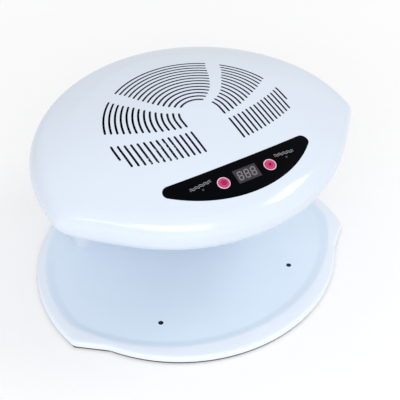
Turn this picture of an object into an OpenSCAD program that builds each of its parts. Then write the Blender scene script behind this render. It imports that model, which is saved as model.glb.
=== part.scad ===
// Nail polish fan dryer: a flat base for the hands, a broad neck at the back and
// a round dome over the base that draws air in on top and blows it down.
// The front faces -Y, the table is z = 0, and the origin is under the middle of the base.

/* [Footprint] */
// Radius of the arc along the front edge of the base
front_r = 156; // [153:0.5:159]
// Radius of the arc round the back of the base
rear_r = 159.5; // [157:0.5:162]
// Distance between the centres of those two arcs
arc_gap = 29; // [27:0.5:31]
// Direction of the slanted edge in front of each ear
ear_angle = 40; // [37:0.5:43]
// Distance from the rear arc's centre to the slanted edge
ear_reach = 128; // [126:0.5:130]

/* [Base] */
// Gap between the table and the bottom plate
foot_gap = 1; // [0.8:0.1:1.6]
// Radius of a rubber foot
foot_r = 9; // [6:0.5:12]
// Depth that a foot is let into the bottom plate
foot_seat = 0.8; // [0.5:0.1:1.2]
// Thickness of the bottom plate
plate_t = 1.6; // [1.4:0.1:2]
// Distance that the bottom plate stays back from the edge of the tray
plate_inset = 1; // [0.5:0.1:2]
// Height of the tray's rim above the bottom plate
tray_h = 6.6; // [6.2:0.1:7.4]
// Depth of the tray's floor below its rim
floor_drop = 2.8; // [2:0.1:3.5]
// Thickness of the tray's floor
floor_t = 1.6; // [1.4:0.1:1.8]
// Thickness of the tray's side wall
tray_wall = 2.4; // [2:0.1:3]
// Edge radius along the top of the tray's side wall
tray_edge = 3.5; // [2:0.5:5]
// Width of the rim in front of the floor
front_margin = 27; // [24:0.5:30]
// Radius of the floor's front edge
floor_front_r = 153.5; // [150:0.5:158]
// Radius of the floor's side and rear edge
floor_side_r = 139; // [135:0.5:142]
// Width of the ramp between the rim and the floor
ramp_w = 8; // [5:0.5:10]

/* [Hand sensors] */
// Distance of each sensor from the middle
sensor_x = 73.5; // [68:0.5:79]
// Distance of the sensors from the front edge
sensor_depth = 71; // [66:0.5:76]
// Radius of the dark window over a sensor
sensor_r = 2.5; // [2:0.1:3.2]
// Thickness of a sensor's circuit board
sensor_board_t = 1; // [0.8:0.1:1.2]
// Side length of a sensor's circuit board
sensor_board_w = 16; // [13:0.5:20]

/* [Neck] */
// Width of the neck
neck_w = 192; // [180:1:200]
// Depth of the neck from its front to the middle of its back
neck_depth = 67.5; // [64.5:0.5:72]
// Distance of the neck's back from the back of the dome
neck_inset = 4; // [3:0.5:6]
// Corner radius of the neck's front
neck_corner = 12; // [8:0.5:16]
// Wall thickness of the neck's covers
neck_wall = 2.4; // [2:0.1:3]
// Distance from the neck's front to the joint between its two covers
neck_split = 17; // [15:0.5:19]
// Side length of the square uprights in the neck
upright_w = 14; // [12:0.5:16]
// Distance of the uprights from the middle
upright_x = 66; // [62:0.5:70]
// Thickness of the flanges at both ends of the uprights
flange_t = 2.5; // [2:0.1:3]

/* [Cord gland] */
// Radius of the gland's bore
gland_bore_r = 3.5; // [3:0.1:4]
// Outer radius of the gland's sleeve
gland_r = 6; // [5.5:0.1:7]
// Radius of the gland's flange
gland_flange_r = 8.5; // [8:0.1:10]
// Length of the gland
gland_len = 14; // [12:0.5:18]
// Height of the gland above the tray's floor
gland_h = 20; // [16:0.5:26]

/* [Dome] */
// Height of the crown above the table
crown_h = 193; // [191:0.5:195]
// Radius of the crown's curve
crown_r = 430; // [415:5:445]
// Distance that the curve's centre lies behind the middle for the front half
crown_shift = 30; // [28:0.5:32]
// The same for the rear half, which is flatter
crown_rear_shift = 8; // [6:0.5:12]
// Radius of the arc along the dome's front
dome_front_r = 159; // [157:0.5:161]
// Radius of the arc round the dome's back
dome_rear_r = 155.5; // [153:0.5:157]
// Distance of the dome's front behind the front edge of the base
dome_front_inset = 7; // [5:0.5:9]
// Distance of the dome's back before the back edge of the base
dome_rear_inset = 16.5; // [15:0.5:18]
// Direction of the dome's slanted edges
dome_ear_angle = 46; // [44:0.5:48]
// Distance from the dome's rear arc's centre to the slanted edge
dome_ear_reach = 124; // [122:0.5:126]
// Radius of the rounded rim of the dome
rim_r = 28.5; // [27.5:0.5:29.5]
// Height of the widest line of the rim
rim_z = 151; // [149.5:0.5:152.5]
// Thickness of the dome's shells
shell_t = 2.5; // [2.2:0.1:3]
// Height of the joint between the two shells above the underside
seam_h = 5.5; // [5:0.1:6]

/* [Intake grille] */
// Distance of the fan's axis in front of the middle
fan_y = -24.5; // [-26:0.5:-23]
// Number of slots side by side
slot_rows = 14; // [10:1:15]
// Radius of the innermost slot
slot_first_r = 19.5; // [18:0.5:22]
// Distance from slot to slot
slot_pitch = 5.1; // [4.6:0.1:5.3]
// Width of a slot
slot_w = 2; // [1.4:0.1:2.4]
// Radius of the line on which the slots end in front
slot_end_r = 174; // [166:1:184]
// Distance from the fan's axis to that line
slot_end_y = 41.7; // [40:0.1:44]

/* [Control panel] */
// Distance of the panel's straight edge in front of the middle
panel_top_y = -83.7; // [-85:0.1:-82]
// Radius of the panel's curved edge
panel_arc_r = 107; // [105:0.5:110]
// Depth of the panel from its straight edge to its curved edge
panel_d = 31.6; // [30:0.1:33]
// Corner radius of the panel's ends
panel_tip_r = 5.5; // [5:0.5:6.5]
// Radius of the panel's rear edge
panel_back_r = 440; // [400:10:600]
// Distance of the row of buttons from the panel's rear edge
row_inset = 14.5; // [14:0.1:16]
// Thickness of the panel
panel_t = 1.2; // [1:0.1:1.4]
// Depth of the recess that the panel lies in
recess_d = 1; // [0.8:0.1:1.1]
// Clearance round the panel and its inserts
inlay_gap = 0.15; // [0.1:0.05:0.3]
// Width of the display window
window_w = 22.5; // [20:0.5:24]
// Depth of the display window
window_d = 13.5; // [12:0.5:15]

/* [Buttons] */
// Distance of each button from the middle
button_x = 23.2; // [21.5:0.1:25]
// Radius of a button
button_r = 4.6; // [4.2:0.1:5]
// Height of a button above the panel
button_proud = 0.9; // [0.8:0.1:1.2]
// Width of the pale ring round a button
ring_w = 0.8; // [0.6:0.1:1]
// Clearance between a button and its ring
button_gap = 0.3; // [0.2:0.05:0.4]
// Travel of a button
button_travel = 0.6; // [0.4:0.1:0.7]
// Distance of each indicator light from the middle
indicator_x = 42; // [39:0.5:45]
// Radius of an indicator light
indicator_r = 1; // [0.8:0.1:1.3]

/* [Control board] */
// Depth of the control board below the panel
board_depth = 10; // [9.8:0.1:10.6]
// Width of the control board
board_w = 106; // [102:1:110]
// Front to back size of the control board
board_d = 27; // [25:0.5:28]
// Thickness of the circuit boards
board_t = 1.6; // [1.2:0.1:1.8]
// Side length of a push switch
switch_w = 6; // [5.5:0.1:7]
// Height of a push switch
switch_h = 3.5; // [3:0.1:3.8]

/* [Fan] */
// Radius of the outlet opening under the dome
outlet_r = 58; // [55:0.5:59]
// Width of the ledge that carries the outlet grille
ledge_w = 3.5; // [3:0.1:4]
// Inner radius of the duct
duct_r = 60.5; // [60:0.1:61]
// Wall thickness of the duct
duct_wall = 2.2; // [2:0.1:2.6]
// Height of the duct
duct_h = 32; // [31:0.5:33]
// Gap between the blades and the duct
blade_gap = 2; // [1.2:0.1:3]
// Number of blades
blade_count = 7; // [5:1:9]
// Slope of the blades
blade_pitch = 32; // [26:1:36]
// Thickness of a blade
blade_t = 1.6; // [1.2:0.1:2]
// Radius of the impeller's hub
hub_r = 15; // [13:0.5:17]
// Height of the impeller
impeller_h = 13; // [11:0.5:14]
// Gap between the impeller and the motor bracket
impeller_gap = 2; // [1.5:0.1:3]
// Thickness of the motor bracket
bracket_t = 2.5; // [2:0.1:3]
// Radius of the motor
motor_r = 17; // [15:0.5:18]
// Height of the motor
motor_h = 19; // [17:0.5:20]
// Radius of the motor's shaft
shaft_r = 1.6; // [1.5:0.05:2]
// Running clearance between the shaft and the motor
shaft_gap = 0.05; // [0.03:0.01:0.08]

/* [Heater] */
// Height of the heater's cross
heater_h = 11; // [10:0.5:12]
// Thickness of the cross's two plates
mica_t = 1.5; // [1.2:0.1:2]
// Radius of the heating element's rod
element_r = 1.2; // [1:0.1:1.5]
// Radius of the innermost heating ring
element_first_r = 24; // [22:0.5:26]
// Distance from heating ring to heating ring
element_pitch = 10; // [9:0.5:11]

/* [Fasteners] */
// Radius of a screw's shank
screw_r = 1.4; // [1.2:0.05:1.6]
// Radius of a screw's head
screw_head_r = 2.8; // [2.5:0.1:3]
// Height of a screw's head
screw_head_h = 1.6; // [1.4:0.1:1.8]
// Radius of a screw boss
boss_r = 4; // [3.6:0.1:4.5]

/* [Hidden] */
$fn = 96;
hair = 0.05;              // clearance of a screw in its hole
big = 400;                // longer than anything that it cuts

// Footprint
front_y = (front_r + arc_gap - rear_r) / 2;
rear_y = front_y - arc_gap;
front_edge_y = front_y - front_r;

// Each outline: front radius and centre, rear radius and centre, reach and angle of the slanted edge
base_outline = [front_r, front_y, rear_r, rear_y, ear_reach, ear_angle];
dome_front_y = front_edge_y + dome_front_inset + dome_front_r;
dome_rear_y = rear_y + rear_r - dome_rear_inset - dome_rear_r;
dome_outline = [dome_front_r, dome_front_y, dome_rear_r, dome_rear_y, dome_ear_reach, dome_ear_angle];
ear_inner_x = 112;        // the ears are joined to the front disc inside this distance

// Base heights
plate_z = foot_gap;
tray_z = plate_z + plate_t;
rim_top_z = tray_z + tray_h;
floor_z = rim_top_z - floor_drop;
sensor_y = front_edge_y + sensor_depth;
feet = [[0, -112], [108, -45], [-108, -45], [100, 62], [-100, 62]];
base_bosses = [[0, -90], [115, -15], [-115, -15]];

// Neck
neck_x = neck_w / 2;
neck_back_r = dome_rear_r - neck_inset;
neck_back_y = dome_rear_y + neck_back_r;
neck_y = neck_back_y - neck_depth;
neck_joint_y = neck_y + neck_split;
pan_z = rim_z - rim_r;
upright_y = neck_y + 19;
cover_screw_z = [30, 105];
gland_z = floor_z + gland_h;
power_inset = 25.5;
power_y = neck_back_y - power_inset;
power_w = 90;
power_h = 60;
power_z = 45;
transformer = [30, 18, 25];
power_posts = [[-40, 50], [40, 50], [-40, 100], [40, 100]];

// Dome
crown_z = crown_h - sqrt(crown_r * crown_r - crown_shift * crown_shift);
crown_rear_z = crown_h - sqrt(crown_r * crown_r - crown_rear_shift * crown_rear_shift);
pan_top_z = pan_z + shell_t;
seam_z = pan_z + seam_h;
crown_block_r = 109;
dome_bosses = [[110, -37], [-110, -37], [88, 56], [-88, 56], [62, -86], [-62, -86]];
wire_hole_r = 8;
wire_x = 30;

// Panel
panel_arc_y = panel_top_y - panel_d + panel_arc_r;
panel_back_y = panel_top_y + panel_back_r;
tip_in = panel_arc_r - panel_tip_r;
tip_out = panel_back_r + panel_tip_r;
tip_y = (panel_arc_y + panel_back_y + (tip_in * tip_in - tip_out * tip_out)
    / (panel_back_y - panel_arc_y)) / 2;
tip_x = sqrt(tip_in * tip_in - pow(tip_y - panel_arc_y, 2));
panel_y = panel_top_y - row_inset;
button_y = panel_y;
indicator_y = panel_y + 2.2;
panel_slope = asin((crown_shift - panel_y) / crown_r);
ring_r = button_r + button_gap + ring_w;
shell_hole_r = button_r + button_gap;
flange_r = button_r + 1.2;
board_posts = [[-48, -7], [48, -7], [-48, 7], [48, 7]];
plunger_r = 1.7;
button_foot = 4.6;
module_top = 2.9;

// Fan, from the outlet upwards
grille_z = pan_top_z - shell_t / 2;
duct_top_z = pan_top_z + duct_h;
impeller_r = duct_r - blade_gap;
impeller_z = duct_top_z - impeller_gap - impeller_h;
motor_z = duct_top_z + bracket_t;
element_z = pan_top_z + heater_h / 2;
duct_ears = [0, 90, 180, 270];
duct_arms = [45, 135, 225, 315];
duct_ear_r = duct_r + duct_wall + 3;
arm_reach = duct_r + duct_wall + 2.2;

// Colours
white = [0.90, 0.94, 0.97];
tint = [0.82, 0.87, 0.95];
black = [0.03, 0.03, 0.04];
pink = [0.86, 0.22, 0.45];
steel = [0.72, 0.73, 0.75];
board_green = [0.10, 0.35, 0.20];

// ---------------------------------------------------------------- outlines

// Half section of a disc of radius r from z0 to z1 with its two edges rounded
module edge_section(r, z0, z1, low_r, top_r, inner = 0) {
    roll = max(low_r, top_r);
    middle = z1 - z0 - low_r - top_r;
    translate([inner, z0]) square([r - roll - inner, z1 - z0]);
    intersection() {
        translate([inner, z0]) square([r - inner, z1 - z0]);
        union() {
            if (middle > 0.01) translate([inner, z0 + low_r]) square([r - inner, middle]);
            if (low_r > 0) translate([r - low_r, z0 + low_r]) circle(low_r);
            if (top_r > 0 && (middle > 0.01 || top_r != low_r)) translate([r - top_r, z1 - top_r]) circle(top_r);
        }
    }
}

module edge_disc(r, z0, z1, low_r, top_r) {
    rotate_extrude() edge_section(r, z0, z1, low_r, top_r);
}

// An outline with its two ears as a slab, d inside the outline
module slab(outline, d, z0, z1, low_r, top_r) {
    rear = outline[3];
    intersection() {
        translate([0, outline[1], 0]) edge_disc(outline[0] - d, z0, z1, low_r, top_r);
        translate([-big / 2, rear - big, z0 - 1]) cube([big, big, z1 - z0 + 2]);
    }
    intersection() {
        translate([0, rear, 0]) edge_disc(outline[2] - d, z0, z1, low_r, top_r);
        slanted_side(outline, d, z0, z1, low_r, top_r);
        mirror([1, 0, 0]) slanted_side(outline, d, z0, z1, low_r, top_r);
        translate([0, 0, z0 - 1]) linear_extrude(z1 - z0 + 2) polygon([
            [ear_inner_x, rear - 15], [ear_inner_x, -big], [big, -big], [big, big],
            [-big, big], [-big, -big], [-ear_inner_x, -big], [-ear_inner_x, rear - 15]]);
    }
}

// Everything behind the slanted edge of one ear
module slanted_side(outline, d, z0, z1, low_r, top_r) {
    translate([0, outline[3], 0]) rotate([90, 0, outline[5] - 90]) translate([0, 0, -big])
        linear_extrude(2 * big) edge_section(outline[4] - d, z0, z1, low_r, top_r, -big);
}

// The front half of the crown's curve, d below the dome's surface
module front_crown(d) {
    translate([0, crown_shift, crown_z]) rotate([90, 0, 0]) sphere(crown_r - d, $fn = 180);
}

// The rear half, which falls less steeply
module rear_crown(d) {
    translate([0, -crown_rear_shift, crown_rear_z]) rotate([90, 0, 0]) sphere(crown_r - d, $fn = 180);
}

// The rolled rim of the dome as a solid slab, d inside its surface
module rim_solid(d) {
    slab(dome_outline, d, pan_z + d, pan_z + 2 * rim_r - d, rim_r - d, rim_r - d);
}

// The whole dome as a solid, d inside its surface
module dome_solid(d) {
    intersection() {
        union() {
            rim_solid(d);
            translate([0, 0, rim_z]) cylinder(h = crown_h - rim_z, r = crown_block_r - d);
        }
        front_crown(d);
        rear_crown(d);
    }
}

// Height of the front half of the crown over a point
function crown_at(x, y) =
    crown_z + sqrt(crown_r * crown_r - x * x - pow(crown_shift - y, 2));

// Places its children in the panel's tilted frame, with z = 0 on the dome's surface
module on_panel(x, y) {
    translate([x, y, crown_at(x, y)]) rotate([panel_slope, 0, 0]) children();
}

// Places its children in one tilted frame for everything on the control board
module on_board() {
    on_panel(0, panel_y) translate([0, 0, -board_depth]) children();
}

// Top of the control board below the surface over a button
button_drop = board_depth - (crown_at(0, button_y) - crown_at(button_x, button_y))
    * cos(panel_slope);
indicator_drop = board_depth - (crown_at(0, panel_y) - crown_at(indicator_x, indicator_y))
    * cos(panel_slope) - (indicator_y - panel_y) * sin(panel_slope);

module screw(length) {
    cylinder(h = length, r = screw_r, $fn = 24);
    translate([0, 0, -screw_head_h]) cylinder(h = screw_head_h, r = screw_head_r, $fn = 24);
}

// ---------------------------------------------------------------- base

module floor_recess() {
    intersection() {
        translate([0, front_edge_y + front_margin + floor_front_r, floor_z])
            cylinder(h = floor_drop + 0.01, r1 = floor_front_r, r2 = floor_front_r + ramp_w);
        translate([0, rear_y + 3, floor_z])
            cylinder(h = floor_drop + 0.01, r1 = floor_side_r, r2 = floor_side_r + ramp_w);
    }
}

module base_tray() {
    color(white) difference() {
        slab(base_outline, 0, tray_z, rim_top_z, 0, tray_edge);
        floor_recess();
        translate([0, 0, floor_z]) linear_extrude(big) neck_section(-inlay_gap);
        difference() {
            slab(base_outline, tray_wall, tray_z - 1, floor_z - floor_t, 0, 0);
            for (p = base_bosses) translate([p[0], p[1], tray_z - 2]) cylinder(h = 20, r = boss_r);
        }
        for (p = base_bosses) translate([p[0], p[1], tray_z - 1])
            cylinder(h = floor_z - tray_z, r = screw_r + hair, $fn = 24);
        for (side = [-1, 1]) translate([side * sensor_x, sensor_y, tray_z])
            cylinder(h = tray_h, r = sensor_r + hair);
        translate([wire_x, upright_y + 10, tray_z]) cylinder(h = tray_h, r = wire_hole_r / 2);
        frame_screw_spots() translate([0, 0, tray_z]) cylinder(h = tray_h, r = screw_r + hair, $fn = 24);
    }
}

module base_plate() {
    color([0.16, 0.17, 0.19]) difference() {
        slab(base_outline, plate_inset, plate_z, tray_z, 0, 0);
        for (p = feet) translate([p[0], p[1], plate_z - 1])
            cylinder(h = foot_seat + 1, r = foot_r + hair);
        for (p = base_bosses) translate([p[0], p[1], plate_z - 1]) {
            cylinder(h = 10, r = screw_r + hair, $fn = 24);
            cylinder(h = 1 + plate_t / 2, r = screw_head_r + 0.2, $fn = 24);
        }
        frame_screw_spots() translate([0, 0, plate_z - 1]) cylinder(h = 10, r = screw_head_r + 0.4, $fn = 24);
    }
}

module rubber_feet() {
    color([0.12, 0.12, 0.13]) for (p = feet) translate([p[0], p[1], 0])
        cylinder(h = foot_gap + foot_seat, r = foot_r);
}

module base_screws() {
    color(steel) for (p = base_bosses) translate([p[0], p[1], plate_z + plate_t / 2])
        cylinder(h = floor_z - floor_t - plate_z - plate_t / 2 - 0.2, r = screw_r, $fn = 24);
    color(steel) for (p = base_bosses) translate([p[0], p[1], plate_z + 0.1])
        cylinder(h = plate_t / 2 - 0.1, r = screw_head_r, $fn = 24);
}

module sensor_window(side) {
    color(black) translate([side * sensor_x, sensor_y, floor_z - floor_t])
        cylinder(h = floor_t - 0.2, r = sensor_r);
}

module left_sensor_window() { sensor_window(-1); }

module right_sensor_window() { sensor_window(1); }

// A thin board with the infrared emitter and receiver under its window
module sensor_board(side) {
    top = floor_z - floor_t;
    color(board_green) translate([side * sensor_x - sensor_board_w / 2, sensor_y - sensor_board_w / 2,
        tray_z]) cube([sensor_board_w, sensor_board_w, sensor_board_t]);
    color(black) translate([side * sensor_x - 2, sensor_y - 1.5, tray_z + sensor_board_t])
        cube([4, 3, top - tray_z - sensor_board_t]);
}

module left_sensor_board() { sensor_board(-1); }

module right_sensor_board() { sensor_board(1); }

// Flat leads from each sensor board back to the hole under the neck
module sensor_leads() {
    back = upright_y + 8;
    lead_h = 0.8;
    start = sensor_y + sensor_board_w / 2;
    color([0.2, 0.2, 0.22]) for (side = [-1, 1]) {
        translate([side * sensor_x - 2, start, tray_z]) cube([4, back - start, lead_h]);
    }
    color([0.2, 0.2, 0.22]) translate([-sensor_x - 2, back, tray_z])
        cube([2 * sensor_x + 4, 4, lead_h]);
}

// ---------------------------------------------------------------- neck

module neck_section(d) {
    intersection() {
        union() {
            translate([-neck_x + d, neck_y + neck_corner]) square([neck_w - 2 * d, big / 2]);
            translate([-neck_x + neck_corner, neck_y + d]) square([neck_w - 2 * neck_corner, big / 2]);
            for (side = [-1, 1]) translate([side * (neck_x - neck_corner), neck_y + neck_corner])
                circle(neck_corner - d);
        }
        translate([0, dome_rear_y]) circle(neck_back_r - d);
    }
}

module neck_shell() {
    difference() {
        translate([0, 0, floor_z]) linear_extrude(rim_z - 6 - floor_z) difference() {
            neck_section(0);
            neck_section(neck_wall);
        }
        translate([0, dome_rear_y, 0]) edge_disc(dome_rear_r, pan_z, rim_z + rim_r, rim_r, rim_r);
    }
}

module half_space(from_y, to_y) {
    translate([-big / 2, from_y, -1]) cube([big, to_y - from_y, big]);
}

// Cylinders for the screws that close the neck, one row at each side
module neck_screw_spots() {
    for (z = cover_screw_z) for (side = [-1, 1])
        translate([side * (neck_x - neck_wall / 2 - boss_r), neck_joint_y, z]) rotate([90, 0, 0]) children();
}

module neck_front_cover() {
    color(white) difference() {
        union() {
            intersection() {
                neck_shell();
                half_space(0, neck_joint_y);
            }
            neck_screw_spots() cylinder(h = 14, r = boss_r);
        }
        neck_screw_spots() translate([0, 0, -1]) cylinder(h = 12, r = screw_r + hair, $fn = 24);
    }
}

module neck_rear_cover() {
    color(white) difference() {
        union() {
            intersection() {
                neck_shell();
                half_space(neck_joint_y, big / 2);
            }
            intersection() {
                linear_extrude(big) neck_section(neck_wall / 2);
                union() {
                    neck_screw_spots() translate([0, 0, -40]) cylinder(h = 40, r = boss_r);
                    for (p = power_posts) translate([p[0], power_y + board_t, p[1]])
                        rotate([-90, 0, 0]) cylinder(h = 40, r = boss_r);
                }
            }
        }
        neck_screw_spots() translate([0, 0, -60]) cylinder(h = 61, r = screw_r + hair, $fn = 24);
        neck_screw_spots() translate([0, 0, -40]) cylinder(h = 40 - 6, r = screw_head_r + 0.2, $fn = 24);
        for (p = power_posts) translate([p[0], power_y, p[1]]) rotate([-90, 0, 0])
            cylinder(h = 9, r = screw_r + hair, $fn = 24);
        translate([0, neck_back_y - 10, gland_z]) rotate([-90, 0, 0]) cylinder(h = 20, r = gland_r + hair);
        for (z = [60 : 7 : 82]) for (x = [-42 : 12 : 42])
            translate([x - 4.5, neck_y + neck_split, z]) cube([9, 80, 2.2]);
    }
}

module neck_cover_screws() {
    color(steel) neck_screw_spots() translate([0, 0, -6]) rotate([0, 0, 0]) screw(14);
}

module frame_screw_spots() {
    for (side = [-1, 1]) for (off = [-1, 1])
        translate([side * (upright_x + off * (upright_w / 2 + 6)), upright_y - 6, 0]) children();
}

// Two square uprights between a lower and an upper flange carry the dome
module neck_frame() {
    flange_w = upright_w + 26;
    color(steel) difference() {
        union() {
            for (side = [-1, 1]) {
                translate([side * upright_x - upright_w / 2, upright_y - upright_w / 2, floor_z])
                    cube([upright_w, upright_w, pan_z - floor_z]);
                for (z = [floor_z, pan_z - flange_t])
                    translate([side * (upright_x + 3) - flange_w / 2, upright_y - 13, z])
                        cube([flange_w, 26, flange_t]);
            }
            translate([-upright_x, upright_y - upright_w / 2, pan_z - 18]) cube([2 * upright_x, 3, 18]);
        }
        for (side = [-1, 1]) translate([side * upright_x - upright_w / 2 + 1.5,
            upright_y - upright_w / 2 + 1.5, floor_z - 1])
            cube([upright_w - 3, upright_w - 3, big]);
        frame_screw_spots() translate([0, 0, floor_z - 1]) cylinder(h = big, r = screw_r + hair, $fn = 24);
    }
}

module neck_frame_screws() {
    color(steel) frame_screw_spots() {
        translate([0, 0, tray_z]) screw(floor_z + flange_t - tray_z);
        translate([0, 0, pan_top_z]) mirror([0, 0, 1]) screw(shell_t + flange_t);
    }
}

module cord_gland() {
    color(black) translate([0, neck_back_y, gland_z]) rotate([-90, 0, 0]) difference() {
        union() {
            translate([0, 0, -6]) cylinder(h = gland_len, r = gland_r);
            cylinder(h = 2, r = gland_flange_r);
            translate([0, 0, -6]) cylinder(h = 2, r = gland_flange_r - 1);
        }
        translate([0, 0, -10]) cylinder(h = gland_len + 10, r = gland_bore_r);
    }
}

module power_board() {
    color(board_green) difference() {
        translate([-power_w / 2, power_y, power_z]) cube([power_w, board_t, power_h]);
        for (p = power_posts) translate([p[0], power_y - 1, p[1]]) rotate([-90, 0, 0])
            cylinder(h = 5, r = screw_r + hair, $fn = 24);
    }
}

module transformer() {
    color([0.75, 0.65, 0.2]) translate([-transformer[0], power_y - transformer[1], power_z + 18]) cube(transformer);
}

module capacitor() {
    color([0.1, 0.1, 0.35]) translate([18, power_y, power_z + 28]) rotate([90, 0, 0])
        cylinder(h = 14, r = 6);
}

module power_board_screws() {
    color(steel) for (p = power_posts) translate([p[0], power_y, p[1]]) rotate([-90, 0, 0]) screw(8);
}

// ---------------------------------------------------------------- dome shells

module dome_lower_pan() {
    color(white) difference() {
        rim_solid(0);
        translate([-big / 2, -big / 2, seam_z]) cube([big, big, big]);
        rim_solid(shell_t);
        for (p = dome_bosses) translate([p[0], p[1], pan_z - 1]) {
            cylinder(h = 20, r = screw_r + hair, $fn = 24);
            cylinder(h = 1 + screw_head_h, r = screw_head_r + 0.2, $fn = 24);
        }
        translate([0, fan_y, pan_z - 1]) cylinder(h = 10, r = outlet_r);
        translate([0, fan_y, grille_z]) cylinder(h = 10, r = outlet_r + ledge_w);
        translate([wire_x, upright_y, pan_z - 1]) cylinder(h = 10, r = wire_hole_r);
        frame_screw_spots() translate([0, 0, pan_z - 1]) cylinder(h = 10, r = screw_r + hair, $fn = 24);
        duct_screw_spots() translate([0, 0, pan_z - 1]) cylinder(h = 10, r = screw_r + hair, $fn = 24);
    }
}

// One slot: two straight legs towards the front and a half circle behind the fan's axis
module slot_shape(r) {
    difference() {
        union() {
            circle(r + slot_w / 2);
            translate([-r - slot_w / 2, -90]) square([2 * r + slot_w, 90]);
        }
        circle(r - slot_w / 2);
        translate([-r + slot_w / 2, -91]) square([2 * r - slot_w, 91]);
    }
}

// The broad bars that divide the slots, on one side
module grille_bars() {
    polygon([[12, -10.3], [23.7, -8.5], [33.7, -5.7], [43.5, -1.7], [53, 3.3], [62.3, 8.5], [71.5, 14.7],
        [80.2, 21.7], [95, 33.6], [95, 14.5], [84.2, 8], [74.5, 2.5], [64.7, -1.7], [55, -6], [45, -9.2],
        [35, -11.7], [24.7, -13.7], [12, -15.5]]);
    polygon([[5, 10], [10.5, 13.5], [20.2, 21], [27.5, 28.5], [33.2, 38.3], [38.7, 48.8], [44, 62], [49, 72],
        [52.5, 80], [65, 75], [58.5, 64], [53.5, 52.2], [47.2, 42.5], [41.2, 32.3], [34.5, 23.5], [27, 16],
        [18, 10.5], [8, 6]]);
    polygon([[83.4, -30], [83.4, -10.2], [95, -10.2], [95, -30]]);
}

module intake_slots() {
    translate([0, fan_y]) difference() {
        for (i = [0 : slot_rows - 1]) slot_shape(slot_first_r + i * slot_pitch);
        difference() {
            translate([-150, -150]) square([300, 160]);
            translate([0, slot_end_r - slot_end_y]) circle(slot_end_r, $fn = 180);
        }
        for (side = [0, 1]) mirror([side, 0]) grille_bars();
    }
}

module dome_top_shell() {
    color(tint) difference() {
        intersection() {
            difference() {
                dome_solid(0);
                difference() {
                    dome_solid(shell_t);
                    for (p = dome_bosses) translate([p[0], p[1], pan_top_z]) cylinder(h = big, r = boss_r);
                    for (p = board_posts) on_board() translate([p[0], p[1], 0]) cylinder(h = 30, r = boss_r - 1);
                }
            }
            translate([-big / 2, -big / 2, seam_z]) cube([big, big, big]);
        }
        translate([0, 0, pan_z]) linear_extrude(big) intake_slots();
        panel_recess();
        for (side = [-1, 1]) on_panel(side * button_x, button_y)
            translate([0, 0, -8]) cylinder(h = 12, r = shell_hole_r);
        on_panel(0, panel_y) translate([-window_w / 2 - 1, -window_d / 2 - 1, -8])
            cube([window_w + 2, window_d + 2, 12]);
        for (side = [-1, 1]) on_panel(side * indicator_x, indicator_y)
            translate([0, 0, -8]) cylinder(h = 12, r = indicator_r + 0.6);
        for (p = dome_bosses) translate([p[0], p[1], pan_z]) cylinder(h = 18, r = screw_r + hair, $fn = 24);
        for (p = board_posts) on_board() translate([p[0], p[1], -1])
            cylinder(h = 6, r = screw_r + hair, $fn = 24);
    }
}

module dome_screws() {
    color(steel) for (p = dome_bosses) translate([p[0], p[1], pan_z + screw_head_h]) screw(12);
}

// ---------------------------------------------------------------- fan and heater

module duct_screw_spots() {
    for (a = duct_ears) translate([0, fan_y, 0]) rotate([0, 0, a]) translate([duct_ear_r, 0, 0]) children();
}

module outlet_grille() {
    color(white) translate([0, fan_y, grille_z]) difference() {
        cylinder(h = shell_t / 2, r = outlet_r + ledge_w - 0.2);
        difference() {
            union() for (r = [10 : 6 : outlet_r - 4]) difference() {
                translate([0, 0, -1]) cylinder(h = 10, r = r + 3.6);
                translate([0, 0, -2]) cylinder(h = 12, r = r);
            }
            for (a = [0 : 45 : 179]) rotate([0, 0, a]) translate([-big / 2, -1, -3]) cube([big, 2, 20]);
        }
    }
}

// Flat bosses with a screw hole each, joined to the duct's wall
module duct_bosses(angles, reach) {
    for (a = angles) rotate(a) difference() {
        translate([reach, 0]) circle(boss_r);
        translate([reach, 0]) circle(screw_r + hair, $fn = 24);
        translate([-big, -big]) square([big + duct_r + duct_wall / 2, 2 * big]);
    }
}

module fan_duct() {
    color([0.80, 0.82, 0.84]) translate([0, fan_y, pan_top_z]) {
        linear_extrude(duct_h) difference() {
            circle(duct_r + duct_wall);
            circle(duct_r);
        }
        linear_extrude(3) duct_bosses(duct_ears, duct_ear_r);
        translate([0, 0, duct_h - 10]) linear_extrude(10) duct_bosses(duct_arms, arm_reach);
    }
}

module duct_screws() {
    color(steel) duct_screw_spots() translate([0, 0, pan_top_z + 3]) mirror([0, 0, 1]) screw(5);
}

module heating_rings(r) {
    for (i = [0 : 2]) translate([0, fan_y, element_z]) rotate_extrude()
        translate([element_first_r + i * element_pitch, 0]) circle(r, $fn = 24);
}

module heater_frame() {
    color([0.75, 0.70, 0.55]) difference() {
        translate([0, fan_y, pan_top_z]) for (a = [0, 90]) rotate([0, 0, a])
            translate([-duct_r + 0.1, -mica_t / 2, 0]) cube([2 * duct_r - 0.2, mica_t, heater_h]);
        heating_rings(element_r + 0.1);
    }
}

module heater_rings() {
    color([0.55, 0.52, 0.50]) heating_rings(element_r);
}

module thermal_cutout() {
    color(steel) translate([38, fan_y, pan_top_z + heater_h]) cylinder(h = 3, r = 4);
}

module bracket_screw_spots() {
    for (a = duct_arms) translate([0, fan_y, 0]) rotate([0, 0, a])
        translate([arm_reach, 0, 0]) children();
}

// A ring and four arms on top of the duct hold the motor over the middle
module motor_bracket() {
    color([0.80, 0.82, 0.84]) translate([0, fan_y, duct_top_z]) linear_extrude(bracket_t) difference() {
        union() {
            difference() {
                circle(duct_r + duct_wall);
                circle(duct_r - 2);
            }
            circle(motor_r + 3);
            for (a = duct_arms) rotate(a) {
                translate([0, -4]) square([duct_r, 8]);
                translate([arm_reach, 0]) circle(boss_r);
            }
        }
        circle(shaft_r + 2);
        for (a = duct_arms) rotate(a) translate([arm_reach, 0])
            circle(screw_r + hair, $fn = 24);
    }
}

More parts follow.
